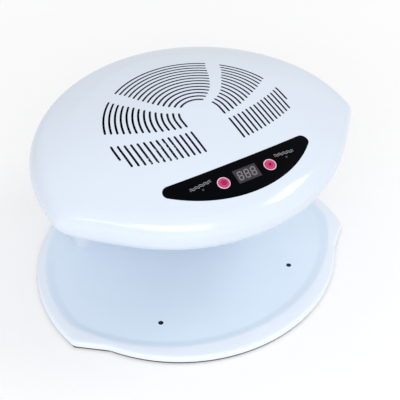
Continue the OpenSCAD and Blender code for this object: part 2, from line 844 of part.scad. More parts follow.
module bracket_screws() {
    color(steel) bracket_screw_spots() translate([0, 0, duct_top_z + bracket_t]) mirror([0, 0, 1]) screw(8);
}

module fan_motor() {
    color(steel) translate([0, fan_y, motor_z]) difference() {
        union() {
            edge_disc(motor_r, 0, motor_h, 0, 2);
            translate([0, 0, motor_h]) cylinder(h = 1, r = 5);
        }
        translate([0, 0, -1]) cylinder(h = motor_h - 1, r = shaft_r + shaft_gap);
    }
}

module motor_shaft() {
    color([0.85, 0.85, 0.87]) translate([0, fan_y, impeller_z - 1])
        cylinder(h = motor_z + motor_h - 3 - impeller_z + 1, r = shaft_r);
}

module fan_impeller() {
    color([0.25, 0.27, 0.30]) translate([0, fan_y, impeller_z]) difference() {
        union() {
            edge_disc(hub_r, 0, impeller_h, 2, 0);
            intersection() {
                cylinder(h = impeller_h, r = impeller_r);
                for (i = [0 : blade_count - 1]) rotate([0, 0, i * 360 / blade_count])
                    translate([hub_r - 2, 0, impeller_h / 2]) rotate([90 - blade_pitch, 0, 0])
                        translate([0, -25, -blade_t / 2]) cube([impeller_r, 50, blade_t]);
            }
        }
        translate([0, 0, -2]) cylinder(h = impeller_h + 4, r = shaft_r);
    }
}

// ---------------------------------------------------------------- control panel

// Corner points of one end of the panel
function tip_points(r) = [for (a = [90 : -26 : -40]) [tip_x + r * cos(a), tip_y + r * sin(a)]];

module panel_shape(grow) {
    tip = tip_points(panel_tip_r + grow);
    last = tip[5] - 60 * [sin(40), cos(40)];
    difference() {
        intersection() {
            translate([0, panel_arc_y]) circle(panel_arc_r + grow, $fn = 180);
            polygon(concat(tip, [last, [-last[0], last[1]]],
                [for (i = [5 : -1 : 0]) [-tip[i][0], tip[i][1]]]));
        }
        translate([0, panel_back_y]) circle(panel_back_r - grow, $fn = 720);
    }
}

module panel_recess() {
    difference() {
        translate([0, 0, pan_z]) linear_extrude(big) panel_shape(inlay_gap);
        front_crown(recess_d);
    }
}

module panel_layer() {
    difference() {
        intersection() {
            translate([0, 0, pan_z]) linear_extrude(big / 4) panel_shape(0);
            front_crown(recess_d - panel_t);
        }
        front_crown(recess_d);
    }
}

module panel_plate() {
    color(black) difference() {
        panel_layer();
        for (side = [-1, 1]) on_panel(side * button_x, button_y)
            translate([0, 0, -8]) cylinder(h = 12, r = ring_r + hair);
        on_panel(0, panel_y) translate([-window_w / 2 - hair, -window_d / 2 - hair, -8])
            cube([window_w + 2 * hair, window_d + 2 * hair, 16]);
        for (side = [-1, 1]) on_panel(side * indicator_x, indicator_y)
            translate([0, 0, -8]) cylinder(h = 12, r = indicator_r + hair);
    }
}

module display_window() {
    color([0.15, 0.16, 0.18]) on_panel(0, panel_y)
        translate([-window_w / 2, -window_d / 2, -module_top])
        cube([window_w, window_d, module_top + 0.1]);
}

module display_module() {
    color([0.2, 0.2, 0.2]) on_board() translate([-window_w / 2 - 0.5, -window_d / 2 - 0.5, 0])
        cube([window_w + 1, window_d + 1, board_depth - module_top]);
}

module control_board() {
    color(board_green) on_board() difference() {
        translate([-board_w / 2, -board_d / 2, -board_t]) cube([board_w, board_d, board_t]);
        for (p = board_posts) translate([p[0], p[1], -5]) cylinder(h = 10, r = screw_r + hair, $fn = 24);
    }
}

module board_screws() {
    color(steel) on_board() for (p = board_posts) translate([p[0], p[1], -board_t]) screw(board_t + 4);
}

module button_ring(side) {
    color([0.93, 0.94, 0.95]) on_panel(side * button_x, button_y) difference() {
        translate([0, 0, -recess_d + 0.4]) cylinder(h = recess_d + 0.1, r = ring_r);
        translate([0, 0, -5]) cylinder(h = 10, r = button_r + button_gap);
    }
}

// The cap stands through the panel, and a flange below the shell holds it in
module push_button(side) {
    color(pink) on_panel(side * button_x, button_y) {
        translate([0, 0, -button_foot]) edge_disc(button_r, 0, button_foot + button_proud, 0, 0.4);
        translate([0, 0, -button_foot]) cylinder(h = 0.8, r = flange_r);
    }
}

module push_switch(side) {
    color([0.1, 0.1, 0.1]) on_panel(side * button_x, button_y)
        translate([0, 0, -button_drop]) difference() {
            translate([-switch_w / 2, -switch_w / 2, 0]) cube([switch_w, switch_w, switch_h]);
            translate([0, 0, switch_h - 1.6]) cylinder(h = 3, r = plunger_r + 0.3);
        }
}

module switch_plunger(side) {
    color([0.8, 0.8, 0.8]) on_panel(side * button_x, button_y)
        translate([0, 0, -button_drop + switch_h - 0.7])
            cylinder(h = button_drop - switch_h + 0.7 - button_foot, r = plunger_r);
}

module indicator(side) {
    color([0.5, 0.45, 0.45]) on_panel(side * indicator_x, indicator_y)
        translate([0, 0, -recess_d]) cylinder(h = panel_t + 0.1, r = indicator_r);
}

module cool_button() { push_button(-1); }

module hot_button() { push_button(1); }

module cool_button_ring() { button_ring(-1); }

module hot_button_ring() { button_ring(1); }

module cool_switch() { push_switch(-1); }

module hot_switch() { push_switch(1); }

module cool_plunger() { switch_plunger(-1); }

module hot_plunger() { switch_plunger(1); }

module left_indicator() { indicator(-1); }

module right_indicator() { indicator(1); }

module indicator_leds() {
    color([0.9, 0.9, 0.85]) for (side = [-1, 1]) on_panel(side * indicator_x, indicator_y)
        translate([0, 0, -indicator_drop]) cylinder(h = indicator_drop - 4, r = 1.5, $fn = 24);
}

// ---------------------------------------------------------------- wiring

// A bundle of wires as straight lengths with a ball at each bend
module bundle(points, r) {
    for (i = [0 : len(points) - 2]) {
        from = points[i];
        run = points[i + 1] - from;
        turn = atan2(run[1], run[0]);
        tilt = acos(run[2] / norm(run));
        translate(from) rotate([0, tilt, turn]) cylinder(h = norm(run), r = r, $fn = 24);
        translate(from) sphere(r + 0.4, $fn = 24);
    }
}

module wiring_loom() {
    loom_r = 2.2;
    color([0.15, 0.15, 0.17]) bundle([
        [wire_x, power_y - loom_r - 0.5, power_z + 50],
        [wire_x, upright_y, pan_z - 8],
        [wire_x, upright_y, pan_top_z + 6],
        [78, 30, pan_top_z + 8],
        [84, -45, pan_top_z + 8],
        [52, -78, pan_top_z + 14],
        [40, panel_y, crown_at(40, panel_y) - board_depth - 6]], loom_r);
}

base_tray();
base_plate();
rubber_feet();
base_screws();
left_sensor_window();
right_sensor_window();
left_sensor_board();
right_sensor_board();
sensor_leads();
neck_frame();
neck_front_cover();
neck_rear_cover();
neck_frame_screws();
neck_cover_screws();
cord_gland();
power_board();
transformer();
capacitor();
power_board_screws();
dome_lower_pan();
dome_top_shell();
dome_screws();
outlet_grille();
fan_duct();
duct_screws();
heater_frame();
heater_rings();
thermal_cutout();
motor_bracket();
bracket_screws();
fan_motor();
motor_shaft();
fan_impeller();
panel_plate();
display_window();
display_module();
control_board();
board_screws();
cool_button();
hot_button();
cool_button_ring();
hot_button_ring();
cool_switch();
hot_switch();
cool_plunger();
hot_plunger();
left_indicator();
right_indicator();
indicator_leds();
wiring_loom();
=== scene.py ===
# %% [markdown]
# # A fan dryer for painted nails
# Two hands lie on the flat base, and a fan in the dome blows air down on them.
# This lesson dresses a finished engineering model: the frame is loaded first,
# then each visible shell is made again as a smooth mesh in the same place, and
# every piece gets a finish. All lengths are in millimetres until a mesh is made.

# %% Load the frame
import bpy, bmesh, math
from mathutils import Matrix, Vector
from mathutils.geometry import delaunay_2d_cdt


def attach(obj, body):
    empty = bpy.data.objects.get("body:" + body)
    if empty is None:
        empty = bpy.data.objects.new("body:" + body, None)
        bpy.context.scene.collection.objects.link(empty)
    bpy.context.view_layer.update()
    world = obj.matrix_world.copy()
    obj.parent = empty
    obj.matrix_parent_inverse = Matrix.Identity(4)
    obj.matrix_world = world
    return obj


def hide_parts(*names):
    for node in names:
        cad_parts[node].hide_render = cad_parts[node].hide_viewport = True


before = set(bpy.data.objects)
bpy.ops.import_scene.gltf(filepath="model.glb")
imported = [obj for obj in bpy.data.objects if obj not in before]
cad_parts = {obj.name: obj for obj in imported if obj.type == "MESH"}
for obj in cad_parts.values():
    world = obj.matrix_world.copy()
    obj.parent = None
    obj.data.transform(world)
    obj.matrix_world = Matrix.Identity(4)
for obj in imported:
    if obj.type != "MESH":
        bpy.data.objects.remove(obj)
MM = 0.001
scene = bpy.context.scene
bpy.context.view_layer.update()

# %% [markdown]
# ## The camera
# The photograph was taken from the front left, well above the dome, with a long
# lens. The camera comes first, so that every later render can be laid beside it.

# %% Place the camera
SENSOR, FOCAL_PIXELS, PHOTO_PIXELS = 36.0, 966, 400
CAMERA_AT = Vector((-361.15, -611.97, 687.75)) * MM
turn, rise = math.radians(-31.5), math.radians(40.9)

camera_data = bpy.data.cameras.new("view")
camera_data.sensor_width = SENSOR
camera_data.lens = SENSOR * FOCAL_PIXELS / PHOTO_PIXELS
camera_data.clip_end = 20
camera = bpy.data.objects.new("view", camera_data)
back = Vector((math.sin(turn) * math.cos(rise), -math.cos(turn) * math.cos(rise),
               math.sin(rise)))
right = Vector((math.cos(turn), math.sin(turn), 0))
up = back.cross(right)
turned = Matrix((right, up, back)).transposed().to_4x4()
camera.matrix_world = Matrix.Translation(CAMERA_AT) @ turned
scene.collection.objects.link(camera)
scene.camera = camera
print("camera at", [round(v, 3) for v in camera.matrix_world.translation])

# %% [markdown]
# ## Sizes
# These repeat the engineering model's own sizes. The base and the dome share one
# kind of outline: a long front arc, a rear arc, and a slanted edge that leaves a
# pointed ear on each side.

# %% Sizes shared by several pieces
PLATE_TOP, RIM_TOP, FLOOR = 2.6, 9.2, 6.4
BASE = dict(front_r=156, front_y=12.75, rear_r=159.5, rear_y=-16.25,
            reach=128, angle=40, blur=1.6)
DOME = dict(front_r=159, front_y=22.75, rear_r=155.5, rear_y=-28.75,
            reach=124, angle=46, blur=3.0, soften=0.5)
EAR_X, OUTLINE_SLACK = 112, 0.01
RIM_Z, ROLL, SEAM_Z, PAN_Z, SHELL = 151.0, 28.5, 128.0, 122.5, 2.5
CROWN_R, CROWN_FRONT, CROWN_REAR, CROWN_H = 430.0, 30.0, 8.0, 193.0
CROWN_Z = CROWN_H - math.sqrt(CROWN_R ** 2 - CROWN_FRONT ** 2)
REAR_Z = CROWN_H - math.sqrt(CROWN_R ** 2 - CROWN_REAR ** 2)
FAN_Y = -24.5
NECK_X, NECK_Y, NECK_CORNER, NECK_WALL = 96.0, 55.25, 12.0, 2.4
NECK_BACK_R, NECK_JOINT = 151.5, 72.25
PANEL_TOP, PANEL_ARC, PANEL_BACK, PANEL_DEPTH, PANEL_TIP = -83.7, 107.0, 440.0, 31.6, 5.5
SPOKES = 720
print("crown's centre is", round(CROWN_Z, 1), "mm up")

# %% [markdown]
# ## The outline as a distance from the middle
# Seen from the middle, each direction meets the outline once, so one number per
# direction describes it. An inset outline uses the same lines moved inwards.
# Averaging neighbours rounds the corners as a mould does, and the dome's inner
# outlines are averaged more, so that the fold behind each ear fades out.

# %% Radius of an outline in each direction
def ray_circle(angle, centre_y, radius):
    """Distance from the middle to a circle that surrounds it."""
    along = centre_y * math.sin(angle)
    return along + math.sqrt(along * along - centre_y * centre_y + radius * radius)

def raw_radius(shape, angle, inset):
    folded = math.pi - angle if math.cos(angle) < 0 else angle
    rear = ray_circle(folded, shape["rear_y"], shape["rear_r"] - inset)
    front = ray_circle(folded, shape["front_y"], shape["front_r"] - inset)
    tilt = math.radians(shape["angle"])
    normal = (math.sin(tilt), -math.cos(tilt))
    facing = math.cos(folded) * normal[0] + math.sin(folded) * normal[1]
    if facing > 0.05:
        slant = (shape["reach"] - inset + shape["rear_y"] * normal[1]) / facing
        if slant * math.cos(folded) > EAR_X and slant > front:
            front = slant
    return min(rear, front)

def smoothed(raw, blur, reach):
    """Each radius averaged with its neighbours, up to reach steps away."""
    weights = [math.exp(-0.5 * (k / blur) ** 2) for k in range(-reach, reach + 1)]
    total = sum(weights)
    return [sum(w * raw[(i + k - reach) % SPOKES] for k, w in enumerate(weights)) / total
            for i in range(SPOKES)]

_rings = {}
def outline_ring(shape, inset):
    """Radii in all directions at one inset, with soft corners."""
    blur = shape["blur"] + shape.get("soften", 0.0) * inset
    key = (shape["front_r"], round(inset, 4))
    if key not in _rings:
        raw = [raw_radius(shape, 2 * math.pi * i / SPOKES, inset) for i in range(SPOKES)]
        _rings[key] = [r - OUTLINE_SLACK for r in smoothed(raw, blur, int(3 * blur) + 1)]
    return _rings[key]

def ring_points(radii, height):
    """A closed ring of points; height is a number or a function of x and y."""
    out = []
    for i, radius in enumerate(radii):
        a = 2 * math.pi * i / SPOKES
        x, y = radius * math.cos(a), radius * math.sin(a)
        out.append((x, y, height(x, y) if callable(height) else height))
    return out

print("dome is", round(2 * max(outline_ring(DOME, 0)), 1), "mm across")

# %% [markdown]
# ## Making a mesh
# Every shell is either a loft through rings or a sheet with holes. The sheet is
# drawn flat, cut into triangles round its holes, and then lifted onto its surface.

# %% Helpers that make meshes
WELD = 0.000002
ROW_STEP, EDGE_ROOM, HOLE_ROOM = 0.87, 0.6, 1.2

def add_piece(name, points, faces, finish, body="housing", replaces=(), sharp=32):
    """A welded mesh that rides on a body; edges sharper than a limit stay hard."""
    data = bpy.data.meshes.new(name)
    data.from_pydata([(x * MM, y * MM, z * MM) for x, y, z in points], [], faces)
    work = bmesh.new()
    work.from_mesh(data)
    bmesh.ops.remove_doubles(work, verts=work.verts, dist=WELD)
    bmesh.ops.recalc_face_normals(work, faces=work.faces)
    for edge in work.edges:
        if len(edge.link_faces) == 2 and edge.calc_face_angle(0) > math.radians(sharp):
            edge.smooth = False
    for face in work.faces:
        face.smooth = True
    work.to_mesh(data)
    work.free()
    piece = bpy.data.objects.new(name, data)
    scene.collection.objects.link(piece)
    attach(piece, body)
    if replaces:
        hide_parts(*replaces)
    data.materials.append(finish)
    return piece

def loft(rings, closed=False):
    """Quads between rings of equal length; closed joins the last ring to the first."""
    points = [p for ring in rings for p in ring]
    count = len(rings[0])
    pairs = list(zip(range(len(rings)), range(1, len(rings))))
    if closed:
        pairs.append((len(rings) - 1, 0))
    faces = [(a * count + i, a * count + (i + 1) % count,
              b * count + (i + 1) % count, b * count + i)
             for a, b in pairs for i in range(count)]
    return points, faces

def combined(*parts):
    """Several pairs of points and faces as one."""
    points, faces = [], []
    for more_points, more_faces in parts:
        start = len(points)
        points += more_points
        faces += [tuple(i + start for i in f) for f in more_faces]
    return points, faces

def inside(x, y, loop):
    hit = False
    for (x1, y1), (x2, y2) in zip(loop, loop[1:] + loop[:1]):
        if (y1 > y) != (y2 > y) and x < (x2 - x1) * (y - y1) / (y2 - y1) + x1:
            hit = not hit
    return hit

def near(x, y, loop, gap):
    for (x1, y1), (x2, y2) in zip(loop, loop[1:] + loop[:1]):
        dx, dy = x2 - x1, y2 - y1
        t = max(0, min(1, ((x - x1) * dx + (y - y1) * dy) / (dx * dx + dy * dy + 1e-12)))
        if (x - x1 - t * dx) ** 2 + (y - y1 - t * dy) ** 2 < gap * gap:
            return True
    return False

def sheet(outer, holes, spacing, place, wall, rim=True):
    """A sheet with holes; place(u, v, depth) gives a point on its outside or inside."""
    boxes = [(min(p[0] for p in h) - 2, max(p[0] for p in h) + 2,
              min(p[1] for p in h) - 2, max(p[1] for p in h) + 2, h) for h in holes]
    def free(u, v):
        """Whether a loose point may lie here, clear of the outline and the holes."""
        if not inside(u, v, outer) or near(u, v, outer, spacing * EDGE_ROOM):
            return False
        return not any(b[0] < u < b[1] and b[2] < v < b[3]
                       and (inside(u, v, b[4]) or near(u, v, b[4], HOLE_ROOM)) for b in boxes)
    lows = [min(p[k] for p in outer) for k in (0, 1)]
    highs = [max(p[k] for p in outer) for k in (0, 1)]
    loose = []
    row, v = 0, lows[1] + spacing * EDGE_ROOM
    while v < highs[1]:
        u = lows[0] + spacing * (EDGE_ROOM if row % 2 else EDGE_ROOM + 0.5)
        while u < highs[0]:
            if free(u, v):
                loose.append((u, v))
            u += spacing
        row, v = row + 1, v + spacing * ROW_STEP
    flat = [Vector(p) for p in outer]
    loops = [list(range(len(outer)))]
    for hole in holes:
        loops.append(list(range(len(flat), len(flat) + len(hole))))
        flat += [Vector(p) for p in hole]
    flat += [Vector(p) for p in loose]
    verts, _, tris, sources, _, owners = delaunay_2d_cdt(flat, [], loops, 1, 1e-5)
    kept = [tuple(t) for t, own in zip(tris, owners) if list(own) == [0]]
    count = len(verts)
    points = [place(p[0], p[1], 0) for p in verts] + [place(p[0], p[1], wall) for p in verts]
    faces = kept + [tuple(i + count for i in reversed(t)) for t in kept]
    ways = dict.fromkeys((a, b) for t in kept for a, b in zip(t, t[1:] + t[:1]))
    def on_rim(i):
        return any(source < len(outer) for source in sources[i])
    faces += [(b, a, a + count, b + count) for a, b in ways
              if (b, a) not in ways and (rim or not (on_rim(a) and on_rim(b)))]
    used = sorted({i for f in faces for i in f})
    renamed = {old: new for new, old in enumerate(used)}
    return [points[i] for i in used], [tuple(renamed[i] for i in f) for f in faces]

def circle(x, y, radius, steps=32):
    turns = [2 * math.pi * i / steps for i in range(steps)]
    return [(x + radius * math.cos(a), y + radius * math.sin(a)) for a in turns]

print("mesh helpers ready")

# %% [markdown]
# ## Shader maths
# A finish is easier to read as a formula than as a net of nodes. A small class
# wraps a socket, so that numbers and sockets can be added and multiplied, and one
# method adds any other node. Only colour, roughness and bump take formulas.

# %% A socket that can be used in a formula
class Wire:
    def __init__(self, finish, socket):
        self.finish, self.socket = finish, socket

    def maths(self, operation, *values):
        return self.finish.node("ShaderNodeMath", {"operation": operation}, dict(enumerate(values)))

    def __add__(self, other): return self.maths("ADD", self, other)
    def __radd__(self, other): return self.maths("ADD", other, self)
    def __sub__(self, other): return self.maths("SUBTRACT", self, other)
    def __mul__(self, other): return self.maths("MULTIPLY", self, other)
    def __rmul__(self, other): return self.maths("MULTIPLY", other, self)

    def clamp(self):
        return self.maths("MAXIMUM", self.maths("MINIMUM", self, 1.0), 0.0)

print("sockets can be added, subtracted, multiplied and clamped")

# %% [markdown]
# A finish is one material with the nodes that most finishes need: noise in the
# object's own space, a blend of two colours, and a bump. Colours are written as a
# paint program shows them, and are made linear here, as the shader wants them.

# %% A finish and its nodes
def linear(red, green, blue):
    """Linear colour of an sRGB colour that is given from 0 to 255."""
    def one(v):
        v /= 255
        return v / 12.92 if v <= 0.04045 else ((v + 0.055) / 1.055) ** 2.4
    return (one(red), one(green), one(blue), 1.0)

class Finish:
    def __init__(self, name):
        self.material = bpy.data.materials.new(name)
        self.material.use_nodes = True
        self.tree = self.material.node_tree
        self.shader = self.tree.nodes["Principled BSDF"]
        self.place = self.node("ShaderNodeTexCoord", out="Object")

    def node(self, kind, settings=None, values=None, out=0):
        new = self.tree.nodes.new(kind)
        for key, value in (settings or {}).items():
            setattr(new, key, value)
        for key, value in (values or {}).items():
            self.feed(new.inputs[key], value)
        return Wire(self, new.outputs[out])

    def feed(self, socket, value):
        if isinstance(value, Wire):
            self.tree.links.new(value.socket, socket)
        else:
            socket.default_value = value

    def set(self, **values):
        for key, value in values.items():
            self.feed(self.shader.inputs[key.replace("_", " ")], value)

    def noise(self, scale, detail=3.0, roughness=0.5, place=None):
        return self.node("ShaderNodeTexNoise", {}, {"Vector": place or self.place, "Scale": scale,
                         "Detail": detail, "Roughness": roughness}, "Fac")

    def stretched(self, x, y, z):
        return self.node("ShaderNodeMapping", {}, {"Vector": self.place, "Scale": (x, y, z)})

    def blend(self, factor, first, second):
        return self.node("ShaderNodeMix", {"data_type": "RGBA"},
                         {0: factor, 6: first, 7: second}, 2)

    def mottle(self, factor, rgb, dark):
        """A base colour that drifts between full and darker."""
        red, green, blue, _ = colour = linear(*rgb)
        low = (red * dark, green * dark, blue * dark, 1.0)
        self.set(Base_Color=self.blend(factor.clamp(), low, colour))

    def bump(self, height, distance, strength=1.0):
        normal = self.node("ShaderNodeBump", {}, {"Height": height, "Distance": distance,
                           "Strength": strength}, "Normal")
        self.feed(self.shader.inputs["Normal"], normal)
        return self

print("finishes can be written as formulas")

# %% [markdown]
# ## Glossy moulded plastic
# The shells are moulded in a polished tool: nearly white with a cool tint, a clear
# gloss, faint handling marks that only change the gloss, and a very fine ripple
# like orange peel. The same recipe with other numbers makes the panel and keys, and
# the dark colour inside the dome and on the slots' walls, which is painted shade so
# that the slots read as black.

# %% Plastic finishes
def plastic(name, rgb, gloss, drift=0.02, ripple=0.000004, coat=0.0, dark=0.93, shine=0.5):
    made = Finish(name)
    broad = made.noise(14.0, 2.0)
    fine = made.noise(420.0, 3.0, 0.6)
    made.mottle((broad - 0.5) * 1.6 + (fine - 0.5) * 0.5 + 0.5, rgb, dark)
    marks = made.noise(38.0, 5.0, 0.65)
    made.set(Roughness=(gloss + (marks - 0.5) * drift * 4 + (fine - 0.5) * drift).clamp())
    made.bump(made.noise(900.0, 2.0), ripple)
    made.set(IOR=1.49, Specular_IOR_Level=shine, Coat_Weight=coat, Coat_Roughness=0.06)
    return made.material

dome_white = plastic("dome_white", (221, 231, 244), 0.16, coat=0.25, dark=0.965)
tray_white = plastic("tray_white", (238, 245, 255), 0.24, coat=0.1, dark=0.965)
# The hand floor is a little darker than the rim: painted shade under the dome, with a coarser skin.
hand_floor_shaded = plastic("hand_floor_shaded", (227, 241, 255), 0.3, ripple=0.00001, dark=0.965)
neck_white = plastic("neck_white", (226, 233, 246), 0.24, dark=0.96)
panel_black = plastic("panel_black", (4, 5, 9), 0.3, drift=0.03, dark=0.6, shine=0.03)
window_black = plastic("window_black", (62, 60, 66), 0.3, drift=0.02, dark=0.8, shine=0.12)
sensor_black = plastic("sensor_black", (30, 26, 34), 0.2, drift=0.02, dark=0.7, shine=0.3)
# Painted shade: the dark colour on the dome's inner faces stands for the shade inside the closed
# dome.
inside_shade = plastic("inside_shade", (24, 27, 36), 0.5, dark=0.8, shine=0.2)
# Painted shade: the dark colour on the slots' walls stands for the shade down in the slots.
slot_wall_shade = plastic("slot_wall_shade", (62, 68, 88), 0.4, dark=0.8, shine=0.3)
key_pink = plastic("key_pink", (216, 48, 116), 0.4, ripple=0.00001, dark=0.9)
ring_pale = plastic("ring_pale", (238, 214, 226), 0.25, dark=0.95)
lens_grey = plastic("lens_grey", (78, 70, 74), 0.3, dark=0.85, shine=0.2)
print("plastic finishes:", [m.name for m in (dome_white, tray_white, panel_black, key_pink)])

# %% [markdown]
# ## Metal, rubber, boards and the rest
# Most of these show only through the slots or from below, but a part that is used
# again may be opened, so each has its own grain: drawn lines on plated steel, pores
# in rubber, a woven glass pattern in the circuit boards.

# %% Metal finishes
def plated(name, rgb, along=(60.0, 60.0, 900.0), gloss=0.3):
    made = Finish(name)
    lines = made.noise(1.0, 4.0, 0.7, made.stretched(*along))
    spots = made.noise(160.0, 3.0)
    made.mottle(lines * 0.7 + spots * 0.3, rgb, 0.78)
    rough = (gloss + (lines - 0.5) * 0.22 + (spots - 0.5) * 0.08).clamp()
    made.set(Metallic=1.0, Roughness=rough)
    return made.bump(lines, 0.00002, 0.4).material

steel = plated("screw_steel", (205, 207, 211), (900.0, 900.0, 60.0))
frame_steel = plated("frame_steel", (190, 193, 198))
can_steel = plated("can_steel", (196, 199, 204), (60.0, 60.0, 1200.0), 0.25)
element_steel = plated("element_steel", (128, 118, 112), (300.0, 300.0, 300.0), 0.45)
print("metal finishes ready")

# %% [markdown]
# Rubber feet, wire sleeves, tape and plain mouldings don't shine. One recipe serves
# them all: cloudy colour, and pits whose size and depth tell rubber from plastic.

# %% Soft and matt finishes
def matt(name, rgb, gloss, pores=500.0, depth=0.00003, dark=0.75):
    made = Finish(name)
    cloud, pits = made.noise(60.0, 4.0), made.noise(pores, 3.0, 0.7)
    made.mottle(cloud * 0.6 + pits * 0.4, rgb, dark)
    made.set(Roughness=(gloss + (pits - 0.5) * 0.2).clamp())
    return made.bump(pits, depth, 0.6).material

plate_dark = matt("plate_dark", (36, 38, 43), 0.6)
foot_rubber = matt("foot_rubber", (36, 36, 39), 0.75, 700.0, 0.00005)
gland_rubber = matt("gland_rubber", (30, 30, 33), 0.6, 600.0)
wire_black = matt("wire_black", (44, 44, 50), 0.45, 300.0)
duct_grey = matt("duct_grey", (62, 65, 72), 0.5, 800.0, 0.00002, 0.85)
blade_grey = matt("blade_grey", (44, 47, 54), 0.45, 700.0, 0.00002, 0.85)
mica_tan = matt("mica_tan", (205, 185, 140), 0.35, 240.0, 0.00004, 0.8)
tape_yellow = matt("tape_yellow", (212, 186, 70), 0.3, 150.0)
sleeve_blue = matt("sleeve_blue", (40, 44, 110), 0.25, 200.0)
switch_black = matt("switch_black", (30, 30, 32), 0.5)
module_grey = matt("module_grey", (60, 60, 64), 0.5)
plunger_white = matt("plunger_white", (222, 222, 220), 0.4, 600.0, 0.00002, 0.92)
resin_clear = matt("resin_clear", (232, 232, 222), 0.2, 300.0, 0.00001, 0.92)
print("matt finishes ready")

# %% [markdown]
# A circuit board is woven glass under green lacquer. Crossed waves give the weave,
# and a slow noise makes the lacquer thicker in places.

# %% Circuit board finish
def board_finish():
    made = Finish("board_green")
    weave = [made.node("ShaderNodeTexWave", {"bands_direction": axis},
                       {"Vector": made.place, "Scale": 320.0, "Distortion": 0.6}, "Fac")
             for axis in ("X", "Y", "Z")]
    cloth = (weave[0] * weave[1] + weave[2] * 0.5) * 0.5
    lacquer = made.noise(70.0, 3.0)
    made.set(Base_Color=made.blend((cloth * 0.6 + lacquer * 0.4).clamp(),
                                   linear(16, 70, 38), linear(36, 116, 66)))
    made.set(Roughness=(0.3 + (lacquer - 0.5) * 0.2).clamp())
    return made.bump(cloth, 0.00002, 0.5).material

board_green = board_finish()
print("board finish ready")

# %% [markdown]
# ## Dress the pieces that stay
# Each engineering node keeps its exact shape and only changes its material. Nodes
# that a new mesh replaces further on get a finish here as well.

# %% Give every node its finish
finish_nodes = [
    (steel, "base_screws neck_frame_screws neck_cover_screws power_board_screws dome_screws"
            " duct_screws bracket_screws board_screws thermal_cutout motor_shaft"),
    (plate_dark, "base_plate"), (foot_rubber, "rubber_feet"), (gland_rubber, "cord_gland"),
    (frame_steel, "neck_frame"), (can_steel, "fan_motor"), (element_steel, "heater_rings"),
    (mica_tan, "heater_frame"), (duct_grey, "fan_duct motor_bracket"),
    (blade_grey, "fan_impeller"), (tape_yellow, "transformer"), (sleeve_blue, "capacitor"),
    (board_green, "left_sensor_board right_sensor_board power_board control_board"),
    (wire_black, "sensor_leads wiring_loom"), (module_grey, "display_module"),
    (switch_black, "cool_switch hot_switch"), (plunger_white, "cool_plunger hot_plunger"),
    (resin_clear, "indicator_leds"), (sensor_black, "left_sensor_window right_sensor_window"),
    (window_black, "display_window"), (panel_black, "panel_plate"),
    (key_pink, "cool_button hot_button"), (ring_pale, "cool_button_ring hot_button_ring"),
    (lens_grey, "left_indicator right_indicator"), (tray_white, "base_tray"),
    (dome_white, "dome_top_shell dome_lower_pan"),
    (neck_white, "outlet_grille neck_front_cover neck_rear_cover"),
]
node_finish = {node: finish for finish, nodes in finish_nodes for node in nodes.split()}
for node, finish in node_finish.items():
    solid = bpy.data.objects[node]
    if not solid.material_slots:
        solid.data.materials.append(finish)
    for material_slot in solid.material_slots:
        material_slot.material = finish
print("finished nodes:", len(node_finish), "of", len(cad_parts))

# %% [markdown]
# ## The dome's surface
# The top is a shallow crown, steeper in front than at the sides, and its rim rolls
# over through a quarter circle. The two surfaces meet in a soft blend, which a
# smooth minimum gives: it follows the lower of two heights and rounds the corner.

# %% Height of the dome over a point
def front_crown(x, y):
    return CROWN_Z + math.sqrt(CROWN_R ** 2 - x * x - (CROWN_FRONT - y) ** 2)

def rear_crown(x, y):
    return REAR_Z + math.sqrt(CROWN_R ** 2 - x * x - (CROWN_REAR + y) ** 2)

def crown_at(x, y):
    return min(front_crown(x, y), rear_crown(x, y))

def smooth_lower(a, b, reach):
    """The lower of two heights, rounded where they cross."""
    mix = max(0.0, min(1.0, 0.5 + 0.5 * (b - a) / reach))
    return b + (a - b) * mix - reach * mix * (1 - mix)

def soft_crown(x, y):
    return smooth_lower(front_crown(x, y), rear_crown(x, y), 1.5)

INSETS = [0.0, 4.0, 8.0, 12.0, 18.0, 28.5, 38.0]
def inset_at(x, y):
    """How far a point lies inside the dome's outline."""
    radius = math.hypot(x, y)
    spot = math.atan2(y, x) / (2 * math.pi) * SPOKES % SPOKES
    i, part = int(spot) % SPOKES, spot % 1
    last = None
    for inset in INSETS:
        ring = outline_ring(DOME, inset)
        edge = ring[i] * (1 - part) + ring[(i + 1) % SPOKES] * part
        if last is not None and radius > edge:
            return last[0] + (inset - last[0]) * (last[1] - radius) / (last[1] - edge)
        last = (inset, edge)
    return INSETS[-1]

STRAIGHT_FROM, STRAIGHT_RISE = 17, 0.44
CROWN_ONLY, BLEND = 36, 9.0

def roll_height(inset):
    """The rolled rim, which runs on straight up before it would turn flat."""
    if inset < STRAIGHT_FROM:
        return RIM_Z + math.sqrt(max(0, ROLL ** 2 - (ROLL - inset) ** 2))
    start = RIM_Z + math.sqrt(ROLL ** 2 - (ROLL - STRAIGHT_FROM) ** 2)
    return start + STRAIGHT_RISE * (inset - STRAIGHT_FROM)

def dome_height(x, y):
    inset, top = inset_at(x, y), soft_crown(x, y)
    if inset > CROWN_ONLY:
        return top
    return smooth_lower(top, roll_height(inset), BLEND)

print("dome over the panel:", round(dome_height(0, -99), 1))
print("crown top:", round(dome_height(0, 0), 1))

# %% [markdown]
# ## The intake slots
# Each slot runs back along a straight leg and turns round the fan's axis. Two broad,
# curved bars on each side break the slots into groups. The outermost slot stops
# short in front.

